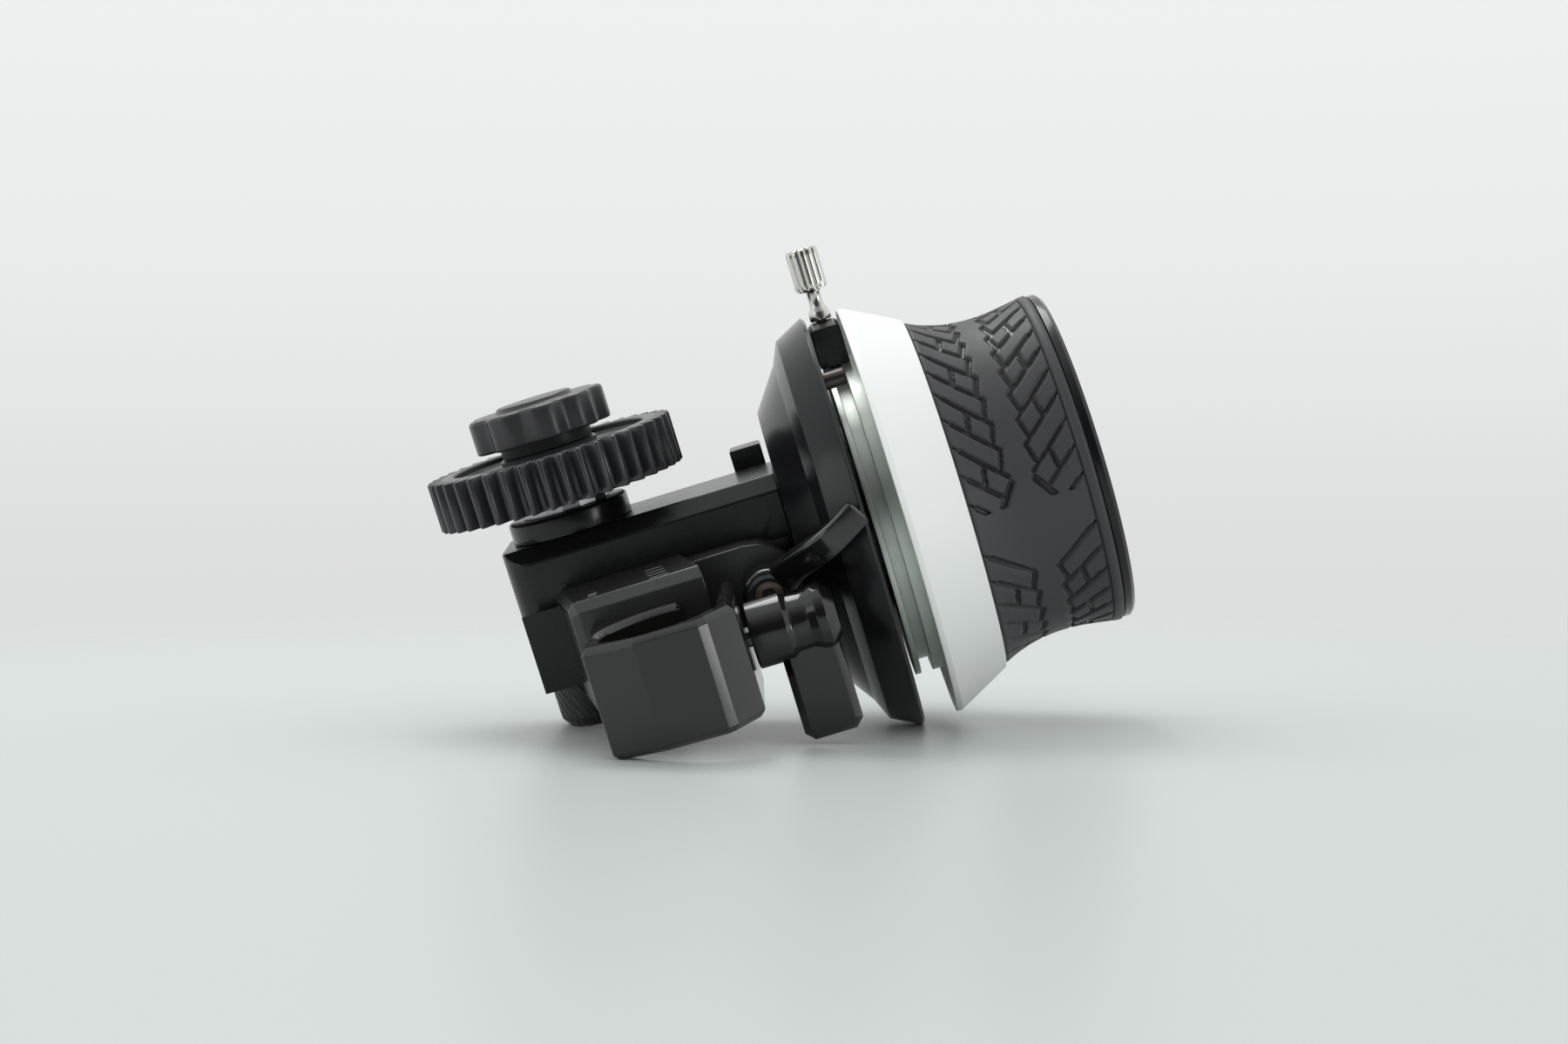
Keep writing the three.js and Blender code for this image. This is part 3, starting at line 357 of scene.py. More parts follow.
def turned_finish(name, tone, rough, centre, vary):
    """The noise reads (x, sqrt(y^2 + z^2)), both measured from the centre."""
    material = finish(name, tone, rough, metal=1.0, grain=0.1, bump=0.001, vary=vary)
    tree = material.node_tree
    place = add_node(tree, "ShaderNodeTexCoord").outputs["Object"]
    moved = add_node(tree, "ShaderNodeMapping", {"Location": [-c * MM for c in centre], "Vector": place})
    split = add_node(tree, "ShaderNodeSeparateXYZ", {"Vector": moved.outputs["Vector"]}).outputs
    flat = add_node(tree, "ShaderNodeCombineXYZ", {"X": split["Y"], "Y": split["Z"]})
    from_axis = add_node(tree, "ShaderNodeVectorMath", {0: flat.outputs["Vector"]}, operation="LENGTH")
    pair = add_node(tree, "ShaderNodeCombineXYZ", {"X": split["X"], "Y": from_axis.outputs["Value"]})
    lines = {"Scale": 1 / (TOOL_LINE * MM), "Detail": 2, "Vector": pair.outputs["Vector"]}
    lines = add_node(tree, "ShaderNodeTexNoise", lines)
    relief = add_node(tree, "ShaderNodeBump", {"Distance": TOOL_MARK * MM, "Height": lines.outputs["Fac"]})
    tree.links.new(relief.outputs["Normal"], tree.nodes["Principled BSDF"].inputs["Normal"])
    return material


nickel_ring = turned_finish("satin_nickel_ring", (0.76, 0.81, 0.75), 0.44, CROSSING, vary=0.2)
nickel = finish("satin_nickel", (0.72, 0.7, 0.66), 0.17, metal=1.0, bump=0.001, vary=0.05)
print("turned finish on", nickel_ring.name)

# %% [markdown]
# The gearbox side of the object is milled from bar: housing, slide rail, slider, stop blocks and the small
# lug behind. Housing, rail and lug keep their CAD shapes and get broken edges. The slider's left end also
# stands 1 mm further out and has a chamfer, and the stop blocks are 4 mm wide, which nearly fills the gap
# between the flange and the disc.

# %% Milled pieces
SLIDER_END = {"x": 0, "y": -26.5, "slant": 3 / 16.6, "top": 4.2, "size": 1.0}
STOP_WIDER = 1.32  # times the solid's 3 mm
for name, node, width, body, coat, more in [
    ("housing_body", "gearbox_housing", 0.25, "gearbox", black, {}),
    ("rear_lug_body", "rear_lug", 0.25, "gearbox", black, {}),
    ("rail_body", "slide_rail", 0.12, "gearbox", black, {}),
    ("slider_body", "slider", 0.22, "slider", slider_black_painted_light, {"left_end": SLIDER_END}),
    ("stop_a_body", "stop_a_block", 0.15, "stop_a", black, {"wider": STOP_WIDER}),
    ("stop_b_body", "stop_b_block", 0.15, "stop_b", black, {"wider": STOP_WIDER}),
]:
    dress(milled(name, node, width, **more), coat, body, [node])

# %% [markdown]
# The flange, the collar under the gear, the nickel ring and the white disc come off a lathe. The profile is
# written as (place along the axis, distance from the axis), corner by corner, and every corner has its own
# radius. The flange's rim is a cone that is widest at the front, and the disc is hollow behind, so the ring
# can be seen to run on into it.

# %% Turned pieces of the gearbox and the wheel
flange_profile = rounded(
    [
        [28.05, 6.3], [28.05, 18], [31.9, 23.4], [33.2, 26.4], [37.15, 28.4], [37.6, 27.95], [37.6, 14.2],
        [35.2, 14.2], [35.2, 6.3],
    ],
    [0, 0.5, 0.3, 0.4, 0.12, 0.1, 0.2, 0.2, 0.1],
)
flange = piece("flange_body", [skin(lathe("x", flange_profile, FINE_ROUND), tube=True)])
dress(flange, glossy_black, "gearbox", ["flange"])

ring_corners = [
    [38.2, 19.05], [38.2, 21.8], [39.0, 21.8], [39.0, 21.2], [38.6, 21.2], [38.6, 19.9], [41.0, 19.9],
    [41.0, 21.2], [40.6, 21.2], [40.6, 21.8], [45.3, 21.8], [45.3, 19.05],
]
ring = piece("stop_ring_body", [skin(lathe("x", rounded(ring_corners, 0.08), FINE_ROUND), tube=True)])
dress(ring, nickel_ring, "wheel", ["stop_ring"])

disc_profile = rounded(
    [
        [45.35, 19.05], [45.35, 22.2], [42.9, 27.2], [42.05, 27.6], [42.0, 28.06], [42.8, 28.06], [50, 24.3],
        [50, 19.05],
    ],
    [0, 0.8, 0.5, 0.2, 0.15, 0.35, 0.3, 0],
)
disc = piece("marking_disc_body", [skin(lathe("x", disc_profile, FINE_ROUND), tube=True)])
dress(disc, white, "wheel", ["marking_disc"])

collar_profile = rounded([[10.55, 4.2], [10.55, 8.2], [13.45, 8.2], [13.45, 4.2]], [0, 0.15, 0.5, 0.1])
collar = piece("top_collar_body", [skin(lathe("z", collar_profile, 128), tube=True)])
dress(collar, glossy_black, "gearbox", ["top_collar"])

# %% [markdown]
# The end plate closes the wheel. Its rim has a polished chamfer that shows as a thin bright line, so the
# faces of that chamfer take a second, polished finish. The face number says which row of the profile a face
# belongs to.

# %% End plate with its polished chamfer
plate_corners = [
    [66.85, 4.2], [66.85, 22.4], [67.8, 22.4], [68.3, 21.9], [68.3, 19.8], [67.7, 19.2], [67.7, 4.2],
]
plate_profile = rounded(plate_corners, [0, 0.1, 0.08, 0.08, 0.2, 0.2, 0.1])
CHAMFER_FROM = (67.75, 21.85)  # the polished faces lie beyond this place and this radius
ahead = np.roll(plate_profile, -1, 0)
row_is_polished = ((plate_profile + ahead) / 2 > CHAMFER_FROM).all(1)
plate = piece(
    "end_plate_body",
    [skin(lathe("x", plate_profile, FINE_ROUND), tube=True)],
    finish_numbers=np.repeat(row_is_polished, FINE_ROUND),
)
dress(plate, [glossy_black, polished], "wheel", ["end_plate"])

# %% [markdown]
# The grip is a rubber sleeve with a drawn-in waist. Its tread is a set of channels, 0.4 mm deep. Slanted
# channels leave each edge, short ones join their tips into a zigzag, and every second block is split once
# more. The channels are straight lines on the unrolled sleeve, so the depth at a point follows from its
# distance to the nearest line. A plain patch without channels is left once round the sleeve.

# %% The tread as distances to lines
DEGREE = math.pi / 180 * 23  # millimetres of rubber to one degree
PITCH = 9.28  # degrees from one slanted channel to the next
FIRST = 103.7  # the angle where the tread starts again after the plain patch
LINES = 38
SLOPE = 2.35  # degrees that a channel advances for each millimetre
HALF_WIDTH, WALL = 0.42, 0.2  # half a channel's width, and how much of it is the sloping wall
FAR_AWAY = 9.0


def to_segment(p, q, start, end):
    """Distance from the point (p, q) to a segment: with t its nearest share, clipped to 0 and 1, it is
    |point - start - t (end - start)|."""
    du, dv = end[0] - start[0], end[1] - start[1]
    share = np.clip(((p - start[0]) * du + (q - start[1]) * dv) / (du * du + dv * dv), 0, 1)
    return np.hypot(p - start[0] - share * du, q - start[1] - share * dv)


def slanted(inwards):
    """The place (inwards, along) of a slanted channel at this distance from the sleeve's edge."""
    return inwards, inwards * SLOPE * DEGREE


def tread_depth(inwards, degrees):
    """0 on the surface and 1 on the floor of a channel. inwards is the distance from the sleeve's edge."""
    turn = np.mod(degrees - FIRST + 12, 360) - 12
    nearest = np.full(np.broadcast(inwards, turn).shape, FAR_AWAY)
    first_line = np.floor((turn - SLOPE * inwards) / PITCH)
    for step in (-2, -1, 0, 1, 2):
        line = np.clip(first_line + step, 0, LINES - 1)
        near = (turn - line * PITCH) * DEGREE
        stop = np.where(line == LINES - 1, 3.2, np.where(line == LINES - 2, 4.7, 5.8))
        channel = to_segment(inwards, near, slanted(0.75), slanted(stop))
        notch = 0.2 + to_segment(inwards, near, slanted(0.0), slanted(0.8))
        tip = to_segment(inwards, near, slanted(5.8), (5.0, (PITCH + 5.0 * SLOPE) * DEGREE))
        tip = np.where(line < LINES - 3, tip, FAR_AWAY)
        split = to_segment(inwards, near, slanted(3.1), (2.6, (PITCH + 2.6 * SLOPE) * DEGREE))
        split = np.where((line % 2 == 1) & (line < LINES - 1), split, FAR_AWAY)
        nearest = np.minimum(nearest, np.minimum(np.minimum(channel, notch), np.minimum(tip, split)))
    last = (turn - (LINES - 1) * PITCH) * DEGREE
    closing = to_segment(inwards, last, (5.9, -2.6 * DEGREE), (3.2, 7.9 * DEGREE)) - 0.15
    nearest = np.minimum(nearest, closing)
    rise = np.clip((HALF_WIDTH - nearest) / WALL, 0, 1)
    return rise * rise * (3 - 2 * rise)


print("channel floor at", float(tread_depth(np.array([2.0]), np.array([FIRST + 2 * SLOPE]))[0]))

# %% [markdown]
# The sleeve is turned from rows of points, close together so that the channels come out crisp. Each point is
# then pulled in by the depth of the channel that runs through it. The tread of the outer half is turned by
# a small angle against that of the inner half.

# %% The grip sleeve
GRIP_COLUMNS = 760
TREAD_START, TREAD_MIDDLE, TREAD_END = 50.4, 57.6, 65.2  # places along the wheel's axis
HALF_TURN = 0.6  # degrees between the two halves of the tread
CHANNEL_DEPTH = 0.42
WAIST_END = 66.4
WAIST_SKEW = math.log(0.5) / math.log(0.44)  # puts the waist at 0.44 of the length


def sleeve_radius(x):
    """From 23.7 to 22.65 along a straight line, drawn in by 1.45 sin(pi s^k), with s the share of the
    length."""
    share = np.clip((x - 50.45) / (WAIST_END - 50.45), 0, 1)
    return 23.7 + (22.65 - 23.7) * share - 1.45 * np.sin(np.pi * share**WAIST_SKEW)


def channel_at(x, degrees):
    """The tread's depth from 0 to 1 at a place on the sleeve, and 0 beyond the tread's two edges."""
    edge = np.minimum(np.abs(x - TREAD_START), np.abs(TREAD_END - x))
    depth = tread_depth(edge, degrees - np.where(x < TREAD_MIDDLE, 0, HALF_TURN))
    return depth * ((x > TREAD_START - 0.02) & (x < TREAD_END - 0.02))


x_tread = np.linspace(TREAD_START, 65.15, 80)
x_band = np.array([65.2, 65.27, 65.33, 65.4, 65.5, 66.0, 66.5, 66.72])
band_drop = np.array([0.12, 0.3, 0.3, 0.1, 0.0, 0.0, 0.05, 0.25])
outer = np.vstack([
    [[50.07, 19.05], [50.07, 23.3], [50.15, 23.55]],
    np.stack([x_tread, sleeve_radius(x_tread)], -1),
    np.stack([x_band, sleeve_radius(x_band) - band_drop], -1),
    [[66.8, 22.1], [66.8, 19.05]],
])
angle = 2 * np.pi * np.arange(GRIP_COLUMNS) / GRIP_COLUMNS
x_rows, r_rows = outer[:, :1], outer[:, 1:]
pulled = r_rows - CHANNEL_DEPTH * channel_at(x_rows, np.degrees(angle)[None])
grip = piece("grip_body", [skin(along("x", x_rows, pulled, angle[None]), tube=True)], sharp=60)
x, y, z = (mesh_points(grip.data) / MM - CROSSING).T
depth = channel_at(x, np.degrees(np.arctan2(-y, z)))
depth_layer = grip.data.attributes.new("channel", "FLOAT", "POINT")
depth_layer.data.foreach_set("value", depth.astype(np.float32))
print("grip", len(grip.data.polygons), "faces, channels cover", round(float(depth.mean()), 3))

# %% [markdown]
# Rubber is dull but not even, and its skin is faintly grained. The attribute that was stored with the mesh
# says how deep a point lies, so the finish can make the channels darker and a little shinier. The darker tone
# is painted shade: it stands in for the shade inside the channels.

# %% Rubber finish
rubber = finish("grip_rubber", (0.046, 0.049, 0.050), 0.5, grain=0.16, bump=0.006, vary=0.08, specular=0.4)
tree = rubber.node_tree
base_color, roughness = (tree.nodes["Principled BSDF"].inputs[name] for name in ("Base Color", "Roughness"))
channel = add_node(tree, "ShaderNodeAttribute", attribute_name="channel").outputs["Fac"]
# Painted shade: the tone is darker where a point lies deep in a channel.
darker = {"Factor": channel, "A": base_color.links[0].from_socket, "B": (0.012, 0.013, 0.014, 1)}
smoother = {"Factor": channel, "A": roughness.links[0].from_socket, "B": 0.22}
tree.links.new(add_node(tree, "ShaderNodeMix", darker, data_type="RGBA").outputs["Result"], base_color)
tree.links.new(add_node(tree, "ShaderNodeMix", smoother).outputs["Result"], roughness)
dress(grip, rubber, "wheel", ["grip_sleeve"])

# %% [markdown]
# The drive gear is moulded, with forty teeth of module 0.8. A tooth's flank is an involute: the curve that
# the end of a taut thread draws as it unwinds from a circle. The outline is worked out for one tooth, copied
# round, and its corners rounded. Rings of that outline, pulled in a little at the two faces, make the body.

# %% Drive gear
TEETH = 40
MODULE = 0.8
PITCH_RADIUS = MODULE * TEETH / 2
BACKLASH = 0.1
TOOTH_CORNER = 0.3
LOW, HIGH = 15.1, 21.8  # heights of the gear's two faces


def gear_outline(root, tip, flank_steps=4):
    """At the radius r the flank stands at the angle w + inv(20) - inv(acos(R cos 20 / r)) from the tooth's
    middle, where inv(a) = tan a - a, R is the pitch radius and w half the tooth's width there."""
    pressure = math.radians(20)
    r = np.linspace(root, tip, flank_steps)
    a = np.arccos(np.clip(PITCH_RADIUS * math.cos(pressure) / r, -1, 1))
    tooth = (np.pi * MODULE - BACKLASH) / (4 * PITCH_RADIUS)
    half = tooth + math.tan(pressure) - pressure - (np.tan(a) - a)
    radius = np.concatenate([r, r[::-1]])
    turn = np.concatenate([-half, half[::-1]])
    around = 2 * np.pi * np.arange(TEETH)[:, None] / TEETH + turn
    corners = np.stack([radius * np.cos(around), radius * np.sin(around)], -1).reshape(-1, 2)
    radii = np.zeros(2 * flank_steps)
    radii[[0, flank_steps - 1, flank_steps, -1]] = TOOTH_CORNER
    return rounded(corners, np.tile(radii, TEETH), 3)


def pulled_in(outline, amount):
    """Each point moves by the amount against the outline's outward normal (dy, -dx) / |d|."""
    along_edge = unit(np.roll(outline, -1, 0) - np.roll(outline, 1, 0))
    return outline - amount * np.stack([along_edge[:, 1], -along_edge[:, 0]], -1)


teeth = gear_outline(root=15.0, tip=16.8)
teeth_angle = np.arctan2(teeth[:, 1], teeth[:, 0])


def flat_ring(radius, z):
    """A circle at the height z that has a point for each point of the tooth outline."""
    return np.stack([radius * np.cos(teeth_angle), radius * np.sin(teeth_angle), z + 0 * teeth_angle], -1)


def tooth_ring(amount, z):
    """The tooth outline pulled in by the amount, at the height z."""
    return np.column_stack([pulled_in(teeth, amount), np.full(len(teeth), z)])


upper = [
    flat_ring(3.9, HIGH), flat_ring(6.4, HIGH), flat_ring(6.6, HIGH - 0.2), flat_ring(6.6, HIGH - 0.9),
    flat_ring(6.8, HIGH - 1.0), flat_ring(13.0, HIGH - 1.0), flat_ring(13.2, HIGH - 0.8),
    flat_ring(13.2, HIGH - 0.2), flat_ring(13.4, HIGH), tooth_ring(0.24, HIGH), tooth_ring(0.08, HIGH - 0.07),
    tooth_ring(0, HIGH - 0.24),
]
lower = [
    tooth_ring(0, LOW + 0.24), tooth_ring(0.08, LOW + 0.07), tooth_ring(0.24, LOW), flat_ring(13.4, LOW),
    flat_ring(13.2, LOW + 0.2), flat_ring(13.2, LOW + 0.9), flat_ring(6.7, LOW + 1.0),
    flat_ring(6.6, LOW + 0.2), flat_ring(6.4, LOW), flat_ring(3.9, LOW),
]
gear = piece("drive_gear_body", [skin(np.array(upper + lower), tube=True)], sharp=40)
dress(gear, gear_plastic, "drive", ["drive_gear"])

# %% [markdown]
# The gear's tone fades towards the foot of the teeth, as painted shade: it stands in for the shade in the
# gaps between the teeth, so that their tips stand out. It is whole at the tips, about 0.7 of that at the
# bottom of a gap, and darkest on the flat rim just inside the teeth, 13 to 14 mm from the axis. Further in it
# is whole again.

# %% Painted shade: a darker tone at the foot of the teeth
RIM_FADE = (0.6, 1.0)  # millimetres below the inner length where the tone starts to come back and is back


# Painted shade: the material's tone gets darker inwards, from the outer length to the inner one.
def paint_shade_inwards(material, centre, inner, outer, share):
    """With r the distance from the z axis through the centre and h the centre's own height, the nodes
    measure d = sqrt(r^2 + h^2), because the Mapping node flattens z before it adds its location. The tone
    is multiplied by the share at d = inner and by 1 at d = outer, and by 1 again below the rim."""
    tree = material.node_tree
    place = add_node(tree, "ShaderNodeTexCoord").outputs["Object"]
    moved = {"Location": [-c * MM for c in centre], "Scale": (1, 1, 0), "Vector": place}
    moved = add_node(tree, "ShaderNodeMapping", moved)
    length = add_node(tree, "ShaderNodeVectorMath", {0: moved.outputs["Vector"]}, operation="LENGTH")
    length = length.outputs["Value"]
    fade = {"From Min": inner * MM, "From Max": outer * MM, "To Min": share, "Value": length}
    fade = add_node(tree, "ShaderNodeMapRange", fade).outputs["Result"]
    start, end = ((inner - below) * MM for below in RIM_FADE)
    rim = add_node(tree, "ShaderNodeMapRange", {"From Min": start, "From Max": end, "Value": length})
    whole = add_node(tree, "ShaderNodeMath", {0: fade, 1: rim.outputs["Result"]}, operation="MAXIMUM")
    tone = tree.nodes["Principled BSDF"].inputs["Base Color"]
    shaded = {0: tone.links[0].from_socket, "Scale": whole.outputs["Value"]}
    shaded = add_node(tree, "ShaderNodeVectorMath", shaded, operation="SCALE")
    tree.links.new(shaded.outputs["Vector"], tone)


# Painted shade, standing in for the shade in the gaps between the gear's teeth.
paint_shade_inwards(gear_plastic, CROSSING, inner=14.9, outer=16.6, share=0.12)
print("tone fades inwards on", gear_plastic.name)

# %% [markdown]
# The knob on top holds the gear. Its edge has nine shallow scallops for the fingers. A cosine of nine times
# the angle gives nine equal waves, and squaring it keeps the lobes broad and the scallops narrow.

# %% Gear knob
def lobes(a, r, angle):
    """r less 0.9 ((1 - cos 9 t) / 2)^2, faded out towards the middle of the knob."""
    scallop = 0.9 * ((1 - np.cos(9 * angle)) / 2) ** 2
    return r - scallop * np.clip((r - 6.3) / 2.2, 0, 1)


knob_rows = rounded(
    [[21.9, 0], [21.9, 6.2], [23.4, 6.2], [23.4, 9.3], [28.0, 9.3], [28.0, 5.4], [28.6, 5.0], [28.6, 0]],
    [0, 0.1, 0.2, 0.35, 0.6, 0.3, 0.3, 0],
)
knob = piece("gear_knob_body", [skin(lathe("z", knob_rows, 288, wave=lobes))], sharp=50)
dress(knob, moulded, "gear_knob", ["gear_knob"])


# %% [markdown]
# The cap under the gearbox screws in by hand, so its side has fine slanted flutes. Here the wave's phase
# moves with the height, which slants each flute.

# %% Lower cap
def cap_flutes(a, r, angle):
    """r less 0.3 (1 - |sin(20 t + 1.6 a)|) where r is over 8.9, so that a flute climbs round as it goes
    up."""
    return r - 0.3 * (1 - np.abs(np.sin(20 * angle + 1.6 * a))) * (r > 8.9)


cap_low, cap_high = -14.9, -8.05
cap_rows = np.vstack([
    [[cap_low, 0]],
    np.linspace([cap_low, 7.0], [cap_low, 7.9], 2),
    np.linspace([cap_low + 0.35, 8.55], [cap_low + 1.3, 9.2], 3),
    np.linspace([cap_low + 1.5, 9.2], [cap_high - 0.5, 9.2], 26),
    [[cap_high - 0.2, 9.1], [cap_high, 8.85], [cap_high, 6.95]],
    [[cap_high + 1.1, 6.95], [cap_high + 1.1, 5.6], [-12.25, 5.6], [-12.25, 0]],
])
cap = piece("lower_cap_body", [skin(lathe("z", cap_rows, 320, wave=cap_flutes))], sharp=40)
dress(cap, black, "gearbox", ["lower_cap"])


# %% [markdown]
# Each stop has a bright thumb nut with a waist and a fluted head. It is made standing upright over the
# wheel's axis and then swung round to its place, exactly as the CAD does.

# %% Thumb nuts
def nut_flutes(a, r, angle):
    """Twelve shallow flutes in the head: r less 0.2 ((1 - cos 12 t) / 2)^3."""
    groove = 0.2 * ((1 - np.cos(12 * angle)) / 2) ** 3
    return r - groove * ((a > 31.7) & (a < 37.1) & (r > 1.9))


nut_rows = np.vstack([
    [[27.4, 0], [27.4, 1.3], [27.55, 1.45], [28.5, 1.45], [28.7, 1.38], [29.2, 1.08], [29.5, 0.97]],
    [[30.2, 0.95], [31.2, 0.96], [31.42, 1.1], [31.5, 1.5], [31.52, 1.75], [31.65, 2.0]],
    np.linspace([31.9, 2.15], [36.8, 2.15], 9),
    [[37.05, 2.05], [37.18, 1.85], [37.2, 1.6], [37.2, 1.2], [37.1, 1.1], [37.1, 0]],
])
for letter, degrees in (("a", 0), ("b", 250)):
    upright = lathe("z", nut_rows, 120, centre=(39.8, 0), wave=nut_flutes)
    nut = piece(f"stop_{letter}_nut", [skin(swung(upright, degrees))], sharp=40)
    dress(nut, nickel, f"stop_{letter}_screw", [f"stop_{letter}_thumbscrew"])

# %% [markdown]
# The rod clamp is cut from thick plate. Seen from above it is one closed outline: the outside with its
# chamfered nose, the springy arm, and the bore that opens into the slot beside the arm. A slab repeats that
# outline at several heights and pulls it in near both faces, which chamfers every edge at once.

# %% Rod clamp
ROD = (10.0, -38.0)
BORE_RADIUS = 7.6  # a rod of 15 mm with 0.1 mm of play all round
LEAST_CORNER = 0.03


def both_faces(low, high, steps):
    """Steps are (distance from the face, amount pulled in). The upper face mirrors the lower one."""
    lower = [(low + far, amount) for far, amount in steps]
    return lower + [(high - far, amount) for far, amount in steps[::-1]]


def slab(corners, radii, levels, axis="y"):
    """Rings of one outline, each pulled in by its own amount at its own place across the slab. A corner's
    radius shrinks by the same amount, so that the chamfer has an even width."""
    radii = np.asarray(radii, float)
    rings = []
    for place, amount in levels:
        softer = np.where(radii > 0, np.maximum(radii - amount, LEAST_CORNER), 0)
        ring = rounded(inset(corners, amount), softer)
        across = np.full(len(ring), place)
        columns = {"y": (ring[:, 0], across, ring[:, 1]), "z": (ring[:, 0], ring[:, 1], across)}[axis]
        rings.append(np.column_stack(columns))
    return np.array(rings)


def arc(centre, radius, start, end, count):
    """Points on a circle from one angle to another, both in degrees."""
    turn = np.radians(np.linspace(start, end, count))
    return np.stack([centre[0] + radius * np.cos(turn), centre[1] + radius * np.sin(turn)], -1)


bore_arc = arc(ROD, BORE_RADIUS, 15.2, -285.6, 70)
outside = [
    [12.5, -30.82], [12.5, -26.55], [0.8, -26.55], [0.8, -44.2], [7.2, -47.2], [15.05, -47.94], [16.2, -47.3],
    [19.5, -43.5], [19.5, -24.2], [17.2, -24.2], [17.2, -35.57],
]
clamp_corners = np.vstack([outside, bore_arc])
clamp_radii = np.concatenate([[0, 0.15, 0.3, 0.5, 0.5, 0.1, 0.1, 0.8, 0.8, 0.2, 0], np.zeros(len(bore_arc))])
clamp_levels = both_faces(-12.7, 1.2, [(0, 0.75), (0.08, 0.66), (0.64, 0.08), (0.8, 0)])
clamp = piece("clamp_body", [capped(slab(clamp_corners, clamp_radii, clamp_levels, axis="z"))], sharp=25)
dress(clamp, clamp_black, "slider", ["rod_clamp"])

# %% [markdown]
# The lock lever is bent like an S, so that a finger can reach it beside the flange. Its section is a bar with
# rounded edges that is carried along a bent path. It is made lying along X, then turned up about its pivot.
# The hub is a separate turned skin of the same piece, with a well for the screw's head.

# %% Lock lever
LOCK_X, LOCK_Z = 23.2, -2.4  # the pivot
RISE = math.radians(30)


def softened(points, rounds=3):
    """Each side is cut at one and three quarters of its length, which rounds a path a little more each
    time."""
    for _ in range(rounds):
        cuts = np.stack([0.75 * points[:-1] + 0.25 * points[1:], 0.25 * points[:-1] + 0.75 * points[1:]], 1)
        points = np.vstack([points[:1], cuts.reshape(-1, points.shape[1]), points[-1:]])
    return points


def swept(path, section, upright):
    """The section's (u, v) is laid at each path point: u along the side, tangent x upright, and v along
    side x tangent."""
    tangent = unit(np.gradient(path, axis=0))
    aside = unit(np.cross(tangent, upright))
    above = np.cross(aside, tangent)
    return path[:, None] + section[None, :, :1] * aside[:, None] + section[None, :, 1:] * above[:, None]


spine = softened(np.array([
    [-1.2, -21.4, 0], [2.4, -21.6, 0.2], [6.2, -25.4, 0.4],
    [10.0, -30.1, 0.1], [12.8, -30.4, 0], [15.6, -30.4, 0.1],
]))
section = rounded([[-1.5, -1.75], [1.5, -1.75], [1.5, 1.75], [-1.5, 1.75]], 0.62, 3)
stout = 1 + 0.55 * np.exp(-((spine[:, 0] + 1.2) / 4.2) ** 2)
arm = swept(spine, section, [0, 0, 1])
thicker = np.stack([np.ones_like(stout), np.ones_like(stout), stout], -1)
arm = spine[:, None] + (arm - spine[:, None]) * thicker[:, None]
arm_end = arm[-1].mean(0)
arm = np.concatenate([arm, arm_end + (arm[-1:] - arm_end) * 0.72 + [0.3, 0, 0.05]])
lever_arm = np.stack([
    LOCK_X + arm[..., 0] * math.cos(RISE) - arm[..., 2] * math.sin(RISE),
    arm[..., 1],
    LOCK_Z + arm[..., 0] * math.sin(RISE) + arm[..., 2] * math.cos(RISE),
], -1)
hub_rows = rounded(
    [[-16.4, 0], [-16.4, 3.4], [-23.6, 3.4], [-23.6, 1.95], [-22.1, 1.95], [-22.1, 0]],
    [0, 0.2, 0.6, 0.15, 0.1, 0],
)
lever_hub = lathe("y", hub_rows, 96, centre=(LOCK_X, LOCK_Z))
lock = piece("lock_lever_body", [capped(lever_arm), skin(lever_hub)], sharp=30)
dress(lock, lever_black, "lock_lever", ["lock_lever"])

# %% [markdown]
# The clamp lever is a turned barrel with a scooped neck, and a flat blade with cut corners hangs from it.
# The barrel is turned about the clamp screw's axis, and the blade is an outline with a chamfer all round.

# %% Clamp lever
SCREW_Y, SCREW_Z = -28.4, -5.75  # the axis of the clamp screw
barrel_rows = rounded(
    [
        [19.75, 0], [19.75, 4.25], [24.3, 4.25], [25.0, 3.75], [27.0, 3.7], [28.3, 4.25], [29.4, 4.25],
        [30.7, 2.9], [30.7, 0],
    ],
    [0, 0.3, 0.3, 0.9, 1.8, 0.9, 0.2, 0.15, 0],
    6,
)
barrel = lathe("x", barrel_rows, 128, centre=(SCREW_Y, SCREW_Z))
blade_corners = [[22.6, -6], [22.6, -19.25], [23.7, -20.35], [29.0, -20.35], [30.1, -19.25], [30.1, -6]]
blade_radii = [0, 0.15, 0.15, 0.15, 0.15, 0]
blade_levels = both_faces(-1.9, 1.9, [(0, 0.95), (0.06, 0.86), (0.87, 0.05), (1.0, 0)])
blade = slab(blade_corners, blade_radii, blade_levels)
lever = piece("clamp_lever_body", [skin(barrel), capped(blade + [0, SCREW_Y, 0])], sharp=30)
dress(lever, clamp_black, "clamp_lever", ["clamp_lever"])


# %% [markdown]
# Screws have a hexagon socket. A ring that is round outside and six-sided inside needs points at the same
# angles on both, so one rule gives the radius for each row: a circle's, or a hexagon's, which is its flat's
# distance divided by the cosine of the angle from the flat's middle. The fixed stop pin is turned as well.

# %% Socket screws and the stop pin
SOCKET_ROUND = 96
SCREW_CIRCLE, PIN_CIRCLE = 17.3, 26.2  # distances from the wheel's axis
PIN_DEGREES = 38


def on_wheel(radius, degrees):
    """The (y, z) at an angle about the wheel's axis: (-r sin t, r cos t)."""
    return -radius * math.sin(math.radians(degrees)), radius * math.cos(math.radians(degrees))


def hexagon(angle, flat):
    """flat / cos(t), with t the angle to the middle of the nearest flat."""
    return flat / np.cos(np.mod(angle, np.pi / 3) - np.pi / 6)


